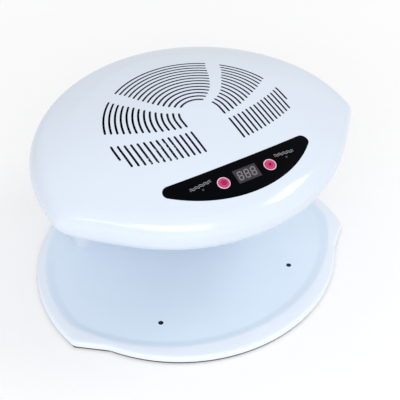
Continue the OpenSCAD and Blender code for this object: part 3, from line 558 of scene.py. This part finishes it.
# %% Outlines of the slots
SLOT_HALF, SLOT_ROWS, SLOT_FIRST, SLOT_PITCH = 1.0, 14, 19.5, 5.1
FRONT_ARC_R, FRONT_ARC_Y = 174, 132.3
WALK, KEEP_EVERY, SHORTEST = 0.5, 5, 6
BARS = [[(12, -10.3), (23.7, -8.5), (33.7, -5.7), (43.5, -1.7), (53, 3.3), (62.3, 8.5),
         (71.5, 14.7), (80.2, 21.7), (95, 33.6), (95, 14.5), (84.2, 8), (74.5, 2.5),
         (64.7, -1.7), (55, -6), (45, -9.2), (35, -11.7), (24.7, -13.7), (12, -15.5)],
        [(5, 10), (10.5, 13.5), (20.2, 21), (27.5, 28.5), (33.2, 38.3), (38.7, 48.8),
         (44, 62), (49, 72), (52.5, 80), (65, 75), (58.5, 64), (53.5, 52.2),
         (47.2, 42.5), (41.2, 32.3), (34.5, 23.5), (27, 16), (18, 10.5), (8, 6)],
        [(83.4, -30), (83.4, -10.2), (95, -10.2), (95, -30)]]

def centre_line(radius, end):
    """Points from one front end of a slot round to the other, half a millimetre apart."""
    leg = [(radius, end + WALK * i) for i in range(int(-end / WALK) + 1)]
    steps = int(math.pi * radius / WALK)
    turn = [(radius * math.cos(math.pi * i / steps), radius * math.sin(math.pi * i / steps))
            for i in range(1, steps)]
    return leg + turn + [(-x, y) for x, y in reversed(leg)]

def on_bar(x, y):
    return any(inside(abs(x), y, bar) or near(abs(x), y, bar, SLOT_HALF) for bar in BARS)

def slot_pieces(radius, end):
    """The runs of a slot's centre line that no bar covers, without the shortest."""
    pieces, run = [], []
    for x, y in centre_line(radius, end) + [(None, 0)]:
        if x is not None and not on_bar(x, y):
            run.append((x, y))
        else:
            if len(run) > SHORTEST:
                pieces.append(run)
            run = []
    return pieces

def slot_loop(run):
    """A closed loop round a centre line, with round ends."""
    run = run[::KEEP_EVERY] + ([run[-1]] if (len(run) - 1) % KEEP_EVERY else [])
    sides = []
    for i, (x, y) in enumerate(run):
        ax, ay = run[max(i - 1, 0)]
        bx, by = run[min(i + 1, len(run) - 1)]
        size = math.hypot(bx - ax, by - ay)
        sides.append((x, y, (by - ay) / size * SLOT_HALF, -(bx - ax) / size * SLOT_HALF))
    def cap(x, y, nx, ny):
        heading = math.atan2(ny, nx)
        return [(x + SLOT_HALF * math.cos(heading + a), y + SLOT_HALF * math.sin(heading + a))
                for a in (math.pi / 4, math.pi / 2, 3 * math.pi / 4)]
    out = [(x + nx, y + ny) for x, y, nx, ny in sides] + cap(*sides[-1])
    out += [(x - nx, y - ny) for x, y, nx, ny in reversed(sides)]
    x, y, nx, ny = sides[0]
    return out + cap(x, y, -nx, -ny)

slots = []
for number in range(SLOT_ROWS):
    slot_radius = SLOT_FIRST + SLOT_PITCH * number
    slot_end = FRONT_ARC_Y - math.sqrt(FRONT_ARC_R ** 2 - slot_radius ** 2) + SLOT_HALF
    slots += [[(x, y + FAN_Y) for x, y in slot_loop(run)]
              for run in slot_pieces(slot_radius, slot_end)]
print("slots:", len(slots))

# %% [markdown]
# ## The panel's outline
# The panel is a crescent: a shallow arc behind, a deep arc in front, and round ends
# that touch both. The end's centre follows from the two distances.

# %% Outline of the panel
ARC_Y, BACK_Y = PANEL_TOP - PANEL_DEPTH + PANEL_ARC, PANEL_TOP + PANEL_BACK
TIP_IN, TIP_OUT = PANEL_ARC - PANEL_TIP, PANEL_BACK + PANEL_TIP
TIP_Y = (ARC_Y + BACK_Y + (TIP_IN ** 2 - TIP_OUT ** 2) / (BACK_Y - ARC_Y)) / 2
TIP_X = math.sqrt(TIP_IN ** 2 - (TIP_Y - ARC_Y) ** 2)
PANEL_Y = PANEL_TOP - 14.5
SLOPE = math.asin((CROWN_FRONT - PANEL_Y) / CROWN_R)

def arc_points(x, y, radius, start, end, count):
    """Points along an arc, without its last one."""
    turns = [start + (end - start) * i / count for i in range(count)]
    return [(x + radius * math.cos(a), y + radius * math.sin(a)) for a in turns]

def panel_loop(grow):
    low = math.atan2(TIP_Y - ARC_Y, TIP_X)
    high = math.atan2(BACK_Y - TIP_Y, -TIP_X)
    back = math.atan2(TIP_Y - BACK_Y, TIP_X)
    return (arc_points(0, ARC_Y, PANEL_ARC + grow, -math.pi - low, low, 72)
            + arc_points(TIP_X, TIP_Y, PANEL_TIP + grow, low, high, 18)
            + arc_points(0, BACK_Y, PANEL_BACK - grow, back, -math.pi - back, 40)
            + arc_points(-TIP_X, TIP_Y, PANEL_TIP + grow, math.pi - high, math.pi - low, 18))

def on_panel(centre_x, centre_y, u, v, w):
    """A point in the tilted frame at one place on the panel, w above the dome's surface."""
    return (centre_x + u, centre_y + v * math.cos(SLOPE) - w * math.sin(SLOPE),
            crown_at(centre_x, centre_y) + v * math.sin(SLOPE) + w * math.cos(SLOPE))

def box_loop(width, depth, corner, all_points=False):
    """A box with round corners; each corner's last point is left out if it isn't asked for."""
    w, d = width / 2 - corner, depth / 2 - corner
    out = []
    for k, (x, y) in enumerate([(w, d), (-w, d), (-w, -d), (w, -d)]):
        start, end = k * math.pi / 2, (k + 1) * math.pi / 2
        out += arc_points(x, y, corner, start, end, 6)
        if all_points:
            out.append((x + corner * math.cos(end), y + corner * math.sin(end)))
    return out

print("panel is", round(2 * (TIP_X + PANEL_TIP), 1), "mm wide, slope",
      round(math.degrees(SLOPE), 1))

# %% [markdown]
# ## The dome's top shell
# Rings run up the rolled rim from the seam, a sheet with the slots and the panel's
# recess fills the middle, and rings inside close the wall. The recess has a floor
# of its own under the panel.

# %% Dome top shell
BUTTON_X, BUTTON_R, BUTTON_GAP, RING_W = 23.2, 4.6, 0.3, 0.8
WINDOW_W, WINDOW_D, LIGHT_X, LIGHT_R = 22.5, 13.5, 42.0, 1.0
LIGHT_Y = PANEL_Y + 2.2
MIDDLE_INSET, BEND_STEPS, BEND_PULL = 14, 14, 0.6
SEAM_HALF, SEAM_BEVEL, SEAM_TURN = 0.15, 0.35, 0.7
RECESS_DEPTH, RECESS_WALL = 1.0, 1.5
INSIDE, SLOT_WALL = 1, 2

def dome_ring(inset, height):
    return ring_points(outline_ring(DOME, inset), height)

def roll(angle, thick=0.0):
    """Inset and height on the rolled rim at an angle above its widest place."""
    a = math.radians(angle)
    return ROLL - (ROLL - thick) * math.cos(a), RIM_Z + (ROLL - thick) * math.sin(a)

def bend_rings(thick):
    """Rings that carry the rolled rim over into the top in one soft bend."""
    low, high = dome_ring(MIDDLE_INSET, dome_height), dome_ring(MIDDLE_INSET + 1, dome_height)
    run = MIDDLE_INSET - thick
    out = []
    for k in range(1, BEND_STEPS + 1):
        t = k / BEND_STEPS
        a, b, c, d = (1 - t) ** 3, 3 * t * (1 - t) ** 2, 3 * t * t * (1 - t), t ** 3
        ring = dome_ring(thick + run * ((1 - BEND_PULL) * c + d), 0)
        for i, (x, y, _) in enumerate(ring):
            top, rise = low[i][2] - thick, high[i][2] - low[i][2]
            corner = top - run * rise
            ring[i] = (x, y, (a + b) * RIM_Z + b * BEND_PULL * (corner - RIM_Z)
                       + c * (top - BEND_PULL * run * rise) + d * top)
        out.append(ring)
    return out

def seam_rings(side):
    """Rings at the seam, from the inside out; side is 1 above the seam and -1 below it."""
    height = SEAM_Z + side * SEAM_HALF
    angle = math.degrees(math.asin((height - RIM_Z) / ROLL))
    inner = ROLL - math.sqrt((ROLL - SHELL) ** 2 - (RIM_Z - height) ** 2)
    return [dome_ring(inner, height), dome_ring(roll(angle)[0] + SEAM_BEVEL, height),
            dome_ring(*roll(angle + side * SEAM_TURN))]

def tilted_circle(x, y, radius, steps=40):
    """A circle on the panel's tilt, as it looks from above."""
    return [on_panel(x, y, u, v, 0)[:2] for u, v in circle(0, 0, radius, steps)]

def tilted_box(width, depth, corner):
    """The display window's outline with round corners, as it looks from above."""
    flat = box_loop(width, depth, corner, all_points=True)
    return [on_panel(0, PANEL_Y, u, v, 0)[:2] for u, v in flat]

def top_shell():
    rings = bend_rings(SHELL)[::-1]
    rings += [dome_ring(*roll(a, SHELL)) for a in (0, -15, -30, -45)]
    rings += seam_rings(1)
    rings += [dome_ring(*roll(a)) for a in list(range(-46, 0, 6)) + [0]] + bend_rings(0)
    middle = sheet([p[:2] for p in dome_ring(MIDDLE_INSET, 0)], slots + [panel_loop(0.15)], 5.0,
                   lambda x, y, depth: (x, y, dome_height(x, y) - depth), SHELL, rim=False)
    holes = [tilted_circle(s * BUTTON_X, PANEL_Y, BUTTON_R + BUTTON_GAP) for s in (-1, 1)]
    holes += [tilted_box(WINDOW_W + 2, WINDOW_D + 2, 1.0)]
    holes += [tilted_circle(s * LIGHT_X, LIGHT_Y, LIGHT_R + 0.6, 16) for s in (-1, 1)]
    recess = sheet(panel_loop(0.25), holes, 6.0,
                   lambda x, y, depth: (x, y, crown_at(x, y) - RECESS_DEPTH - depth), RECESS_WALL)
    return combined(loft(rings), middle, recess)

dome_top = add_piece("dome_top", *top_shell(), replaces=["dome_top_shell"], finish=dome_white)
# Inner faces and slot walls take the two dark colours: painted shade inside the dome and down in
# the slots.
dome_top.data.materials.append(inside_shade)
dome_top.data.materials.append(slot_wall_shade)
for face in dome_top.data.polygons:
    x, y, z = face.center / MM
    inset, down = inset_at(x, y), dome_height(x, y) - z
    if inset > 13 and down > SHELL - 0.1:
        face.material_index = INSIDE
    elif y > -80 and inset > 20 and down > 0.6:
        face.material_index = SLOT_WALL
print("dome top:", len(dome_top.data.polygons), "faces")

# %% [markdown]
# ## The dome's lower pan
# The rim rolls on under the dome into a flat pan with the round air outlet.

# %% Dome lower pan
DOME_BOSSES = [(110, -37), (-110, -37), (88, 56), (-88, 56), (62, -86), (-62, -86)]
FRAME_SCREWS = [(s * x, 68.25) for s in (-1, 1) for x in (53, 79)]
FRAME_SCREW_R, BOSS_R, OUTLET_R = 1.45, 3.0, 58.0
WIRE_X, PAN_WIRE_Y, PAN_WIRE_R = 30, 74.25, 8.0

def lower_pan():
    rings = [dome_ring(ROLL, PAN_Z + SHELL)]
    rings += [dome_ring(*roll(a, SHELL)) for a in (-80, -70)]
    rings += seam_rings(-1)
    rings += [dome_ring(*roll(a)) for a in range(-59, -90, -5)]
    rings.append(dome_ring(ROLL, PAN_Z))
    holes = [circle(0, FAN_Y, OUTLET_R, 96), circle(WIRE_X, PAN_WIRE_Y, PAN_WIRE_R)]
    holes += [circle(x, y, BOSS_R, 24) for x, y in DOME_BOSSES]
    holes += [circle(x, y, FRAME_SCREW_R, 16) for x, y in FRAME_SCREWS]
    flat = sheet([p[:2] for p in dome_ring(ROLL, 0)], holes, 9.0,
                 lambda x, y, depth: (x, y, PAN_Z + SHELL - depth), SHELL, rim=False)
    return combined(loft(rings), flat)

dome_pan = add_piece("dome_pan", *lower_pan(), replaces=["dome_lower_pan"], finish=dome_white)
# The pan's inner faces take the dark colour too: painted shade inside the dome.
dome_pan.data.materials.append(inside_shade)
for face in dome_pan.data.polygons:
    x, y, z = face.center / MM
    if z > PAN_Z + 2.0 and inset_at(x, y) > 17:
        face.material_index = INSIDE
print("dome pan:", len(dome_pan.data.polygons), "faces")

# %% [markdown]
# ## The base tray
# The tray's edge is rounded over above and cut back a little below, where the dark
# plate shows as a thin line. Its top dips through a soft ramp into the
# flat floor where the hands lie. The floor has a slightly coarser skin than the rim,
# and a slightly darker colour, which is painted shade under the dome.

# %% Base tray
TRAY_WALL, FLOOR_WALL, CUT_BACK, RAMP = 2.4, 1.6, 1.0, 12
EDGE_R, EDGE_Z = 3.5, 5.7
SENSOR_X, SENSOR_Y, SENSOR_R = 73.5, -72.25, 2.55
TRAY_WIRE_Y, TRAY_WIRE_R = 84.25, 4.0

def floor_ring(grow):
    """Radii of the hand floor's outline, or of one that lies further out."""
    turns = [2 * math.pi * i / SPOKES for i in range(SPOKES)]
    return smoothed([min(ray_circle(a, -13.25, 139 + grow), ray_circle(a, 37.25, 153.5 + grow))
                     for a in turns], 3, 9)

def base_ring(inset, height):
    return ring_points(outline_ring(BASE, inset), height)

def tray():
    low, wide = floor_ring(0), floor_ring(RAMP)
    under = FLOOR - FLOOR_WALL
    rings = [ring_points(low, under)]
    rings += [base_ring(inset, z) for inset, z in (
        (TRAY_WALL, under), (TRAY_WALL, PLATE_TOP), (CUT_BACK, PLATE_TOP),
        (0, PLATE_TOP + CUT_BACK), (0, EDGE_Z))]
    for step in range(1, 8):
        a = math.radians(90 * step / 7)
        rings.append(base_ring(EDGE_R * (1 - math.cos(a)), EDGE_Z + EDGE_R * math.sin(a)))
    rings.append(ring_points(wide, RIM_TOP))
    for step in range(1, 8):
        t = step / 8
        ease = t * t * (3 - 2 * t)
        rings.append(ring_points([w + (l - w) * t for w, l in zip(wide, low)],
                                 RIM_TOP + (FLOOR - RIM_TOP) * ease))
    rings.append(ring_points(low, FLOOR))
    holes = [circle(s * SENSOR_X, SENSOR_Y, SENSOR_R, 40) for s in (-1, 1)]
    holes += [circle(WIRE_X, TRAY_WIRE_Y, TRAY_WIRE_R)]
    holes += [circle(x, y, FRAME_SCREW_R, 16) for x, y in FRAME_SCREWS]
    flat = sheet([p[:2] for p in ring_points(low, 0)], holes, 9.0,
                 lambda x, y, depth: (x, y, FLOOR - depth), FLOOR_WALL, rim=False)
    return combined(loft(rings), flat)

tray_piece = add_piece("tray", *tray(), replaces=["base_tray"], finish=tray_white, sharp=40)
# The flat hand floor takes the darker colour: painted shade under the dome.
tray_piece.data.materials.append(hand_floor_shaded)
for face in tray_piece.data.polygons:
    if FLOOR - 0.1 < face.center.z / MM < RIM_TOP - 0.15 and face.normal.z > 0.9:
        face.material_index = 1
print("tray:", len(tray_piece.data.polygons), "faces")

# %% [markdown]
# ## The neck's covers
# A wall that stands on the floor and follows the neck's section. Its top meets the
# underside of the dome, so it rises where the dome's rim rolls up. The rear cover
# is a sheet with holes for the vents, the cord gland and the long screws.

# %% Neck covers
class Path:
    """A line that can be walked by its length."""
    def __init__(self, points):
        self.points, self.marks = points, [0.0]
        for a, b in zip(points, points[1:]):
            self.marks.append(self.marks[-1] + math.dist(a, b))

    def at(self, u):
        i = 0
        while i < len(self.marks) - 2 and self.marks[i + 1] < u:
            i += 1
        t = (u - self.marks[i]) / (self.marks[i + 1] - self.marks[i])
        (x1, y1), (x2, y2) = self.points[i], self.points[i + 1]
        return x1 + (x2 - x1) * t, y1 + (y2 - y1) * t

    def outward(self, u):
        """The direction that points out of the neck, averaged over a millimetre."""
        (x1, y1), (x2, y2) = self.at(max(u - 0.5, 0)), self.at(min(u + 0.5, self.marks[-1]))
        size = math.hypot(x2 - x1, y2 - y1)
        return (y2 - y1) / size, -(x2 - x1) / size

def under_dome(x, y):
    """Height of the dome's underside over a point of the neck."""
    away = DOME["rear_r"] - math.hypot(x, y - DOME["rear_y"])
    return PAN_Z if away >= ROLL else RIM_Z - math.sqrt(ROLL ** 2 - (ROLL - away) ** 2)

JOINT_HALF = 0.1
corner_x, corner_y = NECK_X - NECK_CORNER, NECK_Y + NECK_CORNER
front_path = Path([(-NECK_X, NECK_JOINT - JOINT_HALF)]
                  + arc_points(-corner_x, corner_y, NECK_CORNER, math.pi, 1.5 * math.pi, 14)
                  + [(-corner_x + 2 * corner_x * i / 12, NECK_Y) for i in range(12)]
                  + arc_points(corner_x, corner_y, NECK_CORNER, -math.pi / 2, 0, 14)
                  + [(NECK_X, corner_y), (NECK_X, NECK_JOINT - JOINT_HALF)])
soft = 4.0
bend_y = DOME["rear_y"] + math.sqrt((NECK_BACK_R - soft) ** 2 - (NECK_X - soft) ** 2)
bend_turn = math.atan2(bend_y - DOME["rear_y"], NECK_X - soft)
half_back = (arc_points(NECK_X - soft, bend_y, soft, 0, bend_turn, 8)
             + arc_points(0, DOME["rear_y"], NECK_BACK_R, bend_turn, math.pi / 2, 30))
rear_path = Path([(NECK_X, NECK_JOINT + JOINT_HALF)] + half_back
                 + [(0, NECK_BACK_R + DOME["rear_y"])]
                 + [(-x, y) for x, y in reversed(half_back)] + [(-NECK_X, NECK_JOINT + JOINT_HALF)])

def wall_point(path, u, v, depth):
    x, y = path.at(u)
    nx, ny = path.outward(u)
    z = FLOOR + (under_dome(x, y) - FLOOR) * v
    return x - nx * depth, y - ny * depth, z

def front_wall():
    section = ((0, 0), (0.5, 0), (1, 0), (1, NECK_WALL), (0, NECK_WALL))
    points, faces = loft([[wall_point(front_path, u, v, depth) for v, depth in section]
                          for u in sorted(set(front_path.marks))])
    last = len(points) - len(section)
    return points, faces + [(4, 3, 2, 1, 0), tuple(range(last, len(points)))]

GLAND_Z, GLAND_R = 26.4, 6.05
COVER_SCREW_X, COVER_SCREW_R, COVER_SCREW_Z = 90.8, 3.0, (30, 105)
VENT_Z, VENT_H, VENT_HALF = (60, 67, 74, 81), 2.2, 4.5

def rear_wall():
    """The sheet is drawn with u along the wall and v up it, both in millimetres."""
    length, tall = rear_path.marks[-1], 120.0
    middle = length / 2
    def place(u, v, depth):
        return wall_point(rear_path, u, v / tall, depth)
    def at_x(x):
        return middle - NECK_BACK_R * math.asin(x / NECK_BACK_R)
    scale = tall / (PAN_Z - FLOOR)
    holes = [circle(at_x(0), (GLAND_Z - FLOOR) * scale, GLAND_R, 36)]
    holes += [circle(at_x(s * COVER_SCREW_X), (z - FLOOR) * scale * 0.985, COVER_SCREW_R, 24)
              for s in (-1, 1) for z in COVER_SCREW_Z]
    for z in VENT_Z:
        for x in range(-42, 43, 12):
            a, b = at_x(x + VENT_HALF), at_x(x - VENT_HALF)
            low, high = (z - FLOOR) * scale, (z + VENT_H - FLOOR) * scale
            holes.append([(a, low), (b, low), (b, high), (a, high)])
    stops = [m for m in rear_path.marks if 0 < m < length]
    rises = [tall * i / 12 for i in range(1, 12)]
    outer = [(0, 0)] + [(m, 0) for m in stops] + [(length, 0)] + [(length, v) for v in rises]
    outer += [(length, tall)] + [(m, tall) for m in reversed(stops)] + [(0, tall)]
    outer += [(0, v) for v in reversed(rises)]
    return sheet(outer, holes, 5.0, place, NECK_WALL)

neck_front = add_piece("neck_front", *front_wall(), replaces=["neck_front_cover"],
                       finish=neck_white)
neck_rear = add_piece("neck_rear", *rear_wall(), replaces=["neck_rear_cover"], finish=neck_white)
print("neck:", len(neck_front.data.polygons), "and", len(neck_rear.data.polygons), "faces")

# %% [markdown]
# ## The control panel
# A thin black plate with a bevelled edge lies in the recess. Everything on it uses
# the panel's own tilt. The markings are plain: seven-bar digits that are switched
# off, waves of air beside the lights, and a snowflake and a sun on the keys.

# %% Panel plate
RING_R = BUTTON_R + BUTTON_GAP + RING_W
FIT = 0.05

def panel_skin():
    lift, deep = 0.2, 1.2
    def edge(grow, height):
        return [(x, y, crown_at(x, y) + height) for x, y in panel_loop(grow)]
    skirt = loft([edge(-0.5, lift - deep), edge(0, lift - deep), edge(0, -0.05),
                  edge(-0.06, 0.08), edge(-0.2, 0.17), edge(-0.5, lift)])
    holes = [tilted_circle(s * BUTTON_X, PANEL_Y, RING_R + FIT) for s in (-1, 1)]
    holes += [tilted_box(WINDOW_W + 2 * FIT, WINDOW_D + 2 * FIT, 0.7)]
    holes += [tilted_circle(s * LIGHT_X, LIGHT_Y, LIGHT_R + FIT, 20) for s in (-1, 1)]
    return combined(skirt, sheet(panel_loop(-0.5), holes, 4.0,
                    lambda x, y, depth: (x, y, crown_at(x, y) + lift - depth), deep, rim=False))

panel_piece = add_piece("panel", *panel_skin(), replaces=["panel_plate"], finish=panel_black)
print("panel:", len(panel_piece.data.polygons), "faces")

# %% [markdown]
# The keys are round and dished for a fingertip, with a flange below that keeps
# them in. A profile turned round the key's axis gives that exactly, and the pale
# ring beside it as well. The display's glass is a box with a softened upper edge.

# %% Rings, keys and the display's glass
def lathe(profile, place, steps=64, closed=False):
    """Turns pairs of radius and height round an axis."""
    return loft([[place(u, v, h) for u, v in circle(0, 0, r, steps)] for r, h in profile], closed)

def on_button(side):
    return lambda u, v, w: on_panel(side * BUTTON_X, PANEL_Y, u, v, w)

RING = [(4.9, -0.6), (RING_R, -0.6), (RING_R, 0.25), (RING_R - 0.06, 0.4), (RING_R - 0.2, 0.48),
        (RING_R - 0.4, 0.5), (5.05, 0.46), (4.92, 0.36)]
KEY = [(0.02, 0.74), (1.4, 0.75), (2.6, 0.79), (3.5, 0.86), (4.0, 0.9), (4.3, 0.87),
       (4.5, 0.76), (4.6, 0.55), (4.6, -3.8), (5.8, -3.8), (5.8, -4.6), (0.02, -4.6)]
for name, side in (("cool", -1), ("hot", 1)):
    add_piece(name + "_ring", *lathe(RING, on_button(side), closed=True),
              replaces=[name + "_button_ring"], finish=ring_pale)
    add_piece(name + "_cap", *lathe(KEY, on_button(side)), body=name + "_key",
              replaces=[name + "_button"], finish=key_pink)

def stamp(loops, place, low, high):
    """Flat shapes with straight sides; place(u, v, w) puts a point on the object."""
    points, faces = [], []
    for loop in loops:
        n, start = len(loop), len(points)
        points += [place(u, v, low) for u, v in loop] + [place(u, v, high) for u, v in loop]
        faces.append(tuple(start + i for i in reversed(range(n))))
        faces.append(tuple(start + n + i for i in range(n)))
        faces += [(start + i, start + (i + 1) % n, start + n + (i + 1) % n, start + n + i)
                  for i in range(n)]
    return points, faces

def on_display(u, v, w):
    return on_panel(0, PANEL_Y, u, v, w)

def display_glass():
    rings = [[on_display(u, v, w) for u, v in
              box_loop(WINDOW_W - 2 * cut, WINDOW_D - 2 * cut, 0.7 - cut * 0.5)]
             for cut, w in ((0, -2.9), (0, -0.02), (0.05, 0.05), (0.15, 0.09), (0.3, 0.1))]
    points, faces = loft(rings)
    n = len(rings[0])
    return points, faces + [tuple(reversed(range(n))), tuple(4 * n + i for i in range(n))]

glass = add_piece("display_glass", *display_glass(), replaces=["display_window"],
                  finish=window_black)
print("display glass:", len(glass.data.polygons), "faces")

# %% [markdown]
# On the real dryer these marks are printed. Here they are very thin solids that lie
# on the panel and the keys, because flat shapes stay crisp at any distance and need
# no picture. The signs on the keys ride with them.

# %% Digits and small signs
def bar(x1, y1, x2, y2, width):
    """A straight bar with pointed ends, as in a seven-bar digit."""
    size = math.dist((x1, y1), (x2, y2))
    ax, ay = (x2 - x1) / size * width / 2, (y2 - y1) / size * width / 2
    return [(x1, y1), (x1 + ax + ay, y1 + ay - ax), (x2 - ax + ay, y2 - ay - ax),
            (x2, y2), (x2 - ax - ay, y2 - ay + ax), (x1 + ax - ay, y1 + ay + ax)]

def digits():
    loops = []
    w, h, gap, lean = 1.9, 3.9, 0.12, 0.12
    for middle in (-6.5, 0.0, 6.5):
        ends = [(-w, h, w, h), (-w, 0, w, 0), (-w, -h, w, -h)]
        ends += [(s * w, t, s * w, t + h) for s in (-1, 1) for t in (-h, 0)]
        for x1, y1, x2, y2 in ends:
            size = math.dist((x1, y1), (x2, y2))
            gx, gy = (x2 - x1) / size * gap, (y2 - y1) / size * gap
            loops.append([(middle + x + lean * y, y) for x, y in
                          bar(x1 + gx, y1 + gy, x2 - gx, y2 - gy, 0.9)])
    return loops

def wave(x, y, length):
    """A thin band that follows four and a half waves."""
    line = [(x + length * (i / 90 - 0.5), y + 0.5 * math.sin(math.pi * i / 10)) for i in range(91)]
    return [(u, v - 0.17) for u, v in line] + [(u, v + 0.17) for u, v in reversed(line)]

def snowflake():
    loops = []
    for k in range(6):
        a = math.pi / 3 * k + math.pi / 6
        c, s = math.cos(a), math.sin(a)
        for x1, y1, x2, y2 in ((0.3, 0, 3.1, 0), (1.7, 0.2, 2.4, 0.95), (1.7, -0.2, 2.4, -0.95)):
            loops.append(bar(x1 * c - y1 * s, x1 * s + y1 * c,
                             x2 * c - y2 * s, x2 * s + y2 * c, 0.5))
    return loops

def sun():
    rays = [bar(1.8 * math.cos(a), 1.8 * math.sin(a), 3.1 * math.cos(a), 3.1 * math.sin(a), 0.55)
            for a in (math.pi / 4 * k for k in range(8))]
    return rays + [circle(0, 0, 1.3, 28)]

digit_grey = plastic("digit_grey", (142, 138, 142), 0.4, dark=0.85, shine=0.2)
sign_white = plastic("sign_white", (186, 186, 192), 0.4, dark=0.9)
sign_red = plastic("sign_red", (112, 10, 48), 0.5, dark=0.9, shine=0.2)
add_piece("display_digits", *stamp(digits(), on_display, 0.06, 0.13), finish=digit_grey)
for name, side, shape in (("cool", -1, snowflake()), ("hot", 1, sun())):
    add_piece(name + "_sign", *stamp(shape, on_button(side), 0.7, 0.88), body=name + "_key",
              finish=sign_red)

def on_crown(u, v, w):
    """A point above the lights that follows the dome's curve."""
    y = LIGHT_Y + v * math.cos(SLOPE)
    return u, y, crown_at(u, y) + w

waves = [stamp([wave(side * LIGHT_X, 3.6 + 1.6 * k, 20.0) for k in range(2)],
               on_crown, 0.15, 0.23) for side in (-1, 1)]
signs = add_piece("air_signs", *combined(*waves), finish=sign_white)
print("signs:", len(signs.data.polygons), "faces")

# %% [markdown]
# ## Light and floor
# A soft light at the right gives the dome's broad highlight, a narrow one at the left
# gives the small glints, and a wide one in front reaches the hand floor. The
# floor is nearly white. Rays from the camera see a white room behind it, and a
# floor whose own white glow thins the shadow, more so further away.

# %% Light, room and floor
AIM = (0, 0, 0.1)
ROOM_GLOW, FLOOR_HALF = 0.74, 6

def soft_light(name, spot, size, power, colour):
    """A rectangular lamp that points at the dryer; places and sizes are in metres."""
    data = bpy.data.lights.new(name, "AREA")
    data.shape, data.size, data.size_y = "RECTANGLE", size[0], size[1]
    data.energy, data.color = power, colour
    lamp = bpy.data.objects.new(name, data)
    lamp.location = spot
    lamp.rotation_euler = (Vector(AIM) - Vector(spot)).to_track_quat("-Z", "Y").to_euler()
    scene.collection.objects.link(lamp)

soft_light("main_light", (0.98, -0.5, 1.38), (0.75, 0.4), 4.2, (1.0, 0.995, 0.97))
soft_light("side_light", (-1.22, -0.63, 1.01), (0.5, 0.1), 0.8, (1.0, 1.0, 1.0))
soft_light("front_light", (-0.75, -1.25, 1.15), (1.2, 0.8), 9.8, (0.99, 0.99, 0.98))

world = bpy.data.worlds.new("room")
world.use_nodes = True
scene.world = world
tree = world.node_tree
tree.nodes.clear()
path, seen, strength, sky, out = (tree.nodes.new("ShaderNode" + kind) for kind in (
    "LightPath", "Math", "MapRange", "Background", "OutputWorld"))
seen.operation = "MAXIMUM"
strength.inputs["To Min"].default_value = ROOM_GLOW
strength.inputs["To Max"].default_value = 1.0
sky.inputs["Color"].default_value = (1.0, 1.0, 1.0, 1.0)
for source, target in ((path.outputs["Is Camera Ray"], seen.inputs[0]),
                       (path.outputs["Is Transmission Ray"], seen.inputs[1]),
                       (seen.outputs[0], strength.inputs["Value"]),
                       (strength.outputs["Result"], sky.inputs["Strength"]),
                       (sky.outputs[0], out.inputs["Surface"])):
    tree.links.new(source, target)

floor_mesh = bpy.data.meshes.new("floor")
floor_mesh.from_pydata([(x * FLOOR_HALF, y * FLOOR_HALF, 0)
                        for x, y in ((-1, -1), (1, -1), (1, 1), (-1, 1))], [], [(0, 1, 2, 3)])
floor = bpy.data.objects.new("floor", floor_mesh)
scene.collection.objects.link(floor)
pale = Finish("floor_pale")
pale.set(Base_Color=pale.blend(pale.noise(60.0), linear(251, 251, 252), linear(253, 253, 254)),
         Roughness=0.7)
reach = pale.node("ShaderNodeVectorMath", {"operation": "LENGTH"}, {0: pale.place}, 1)
camera_ray = pale.node("ShaderNodeLightPath", out="Is Camera Ray")
glow = pale.node("ShaderNodeEmission")
lit = Wire(pale, pale.shader.outputs[0])
fade = camera_ray * (0.25 + 0.75 * (reach * 1.6 - 0.3).clamp())
thin = pale.node("ShaderNodeMixShader", {}, {0: fade, 1: lit, 2: glow})
pale.feed(pale.tree.nodes["Material Output"].inputs["Surface"], thin)
floor_mesh.materials.append(pale.material)
scene.view_settings.view_transform = "Standard"
print("lights and floor ready")
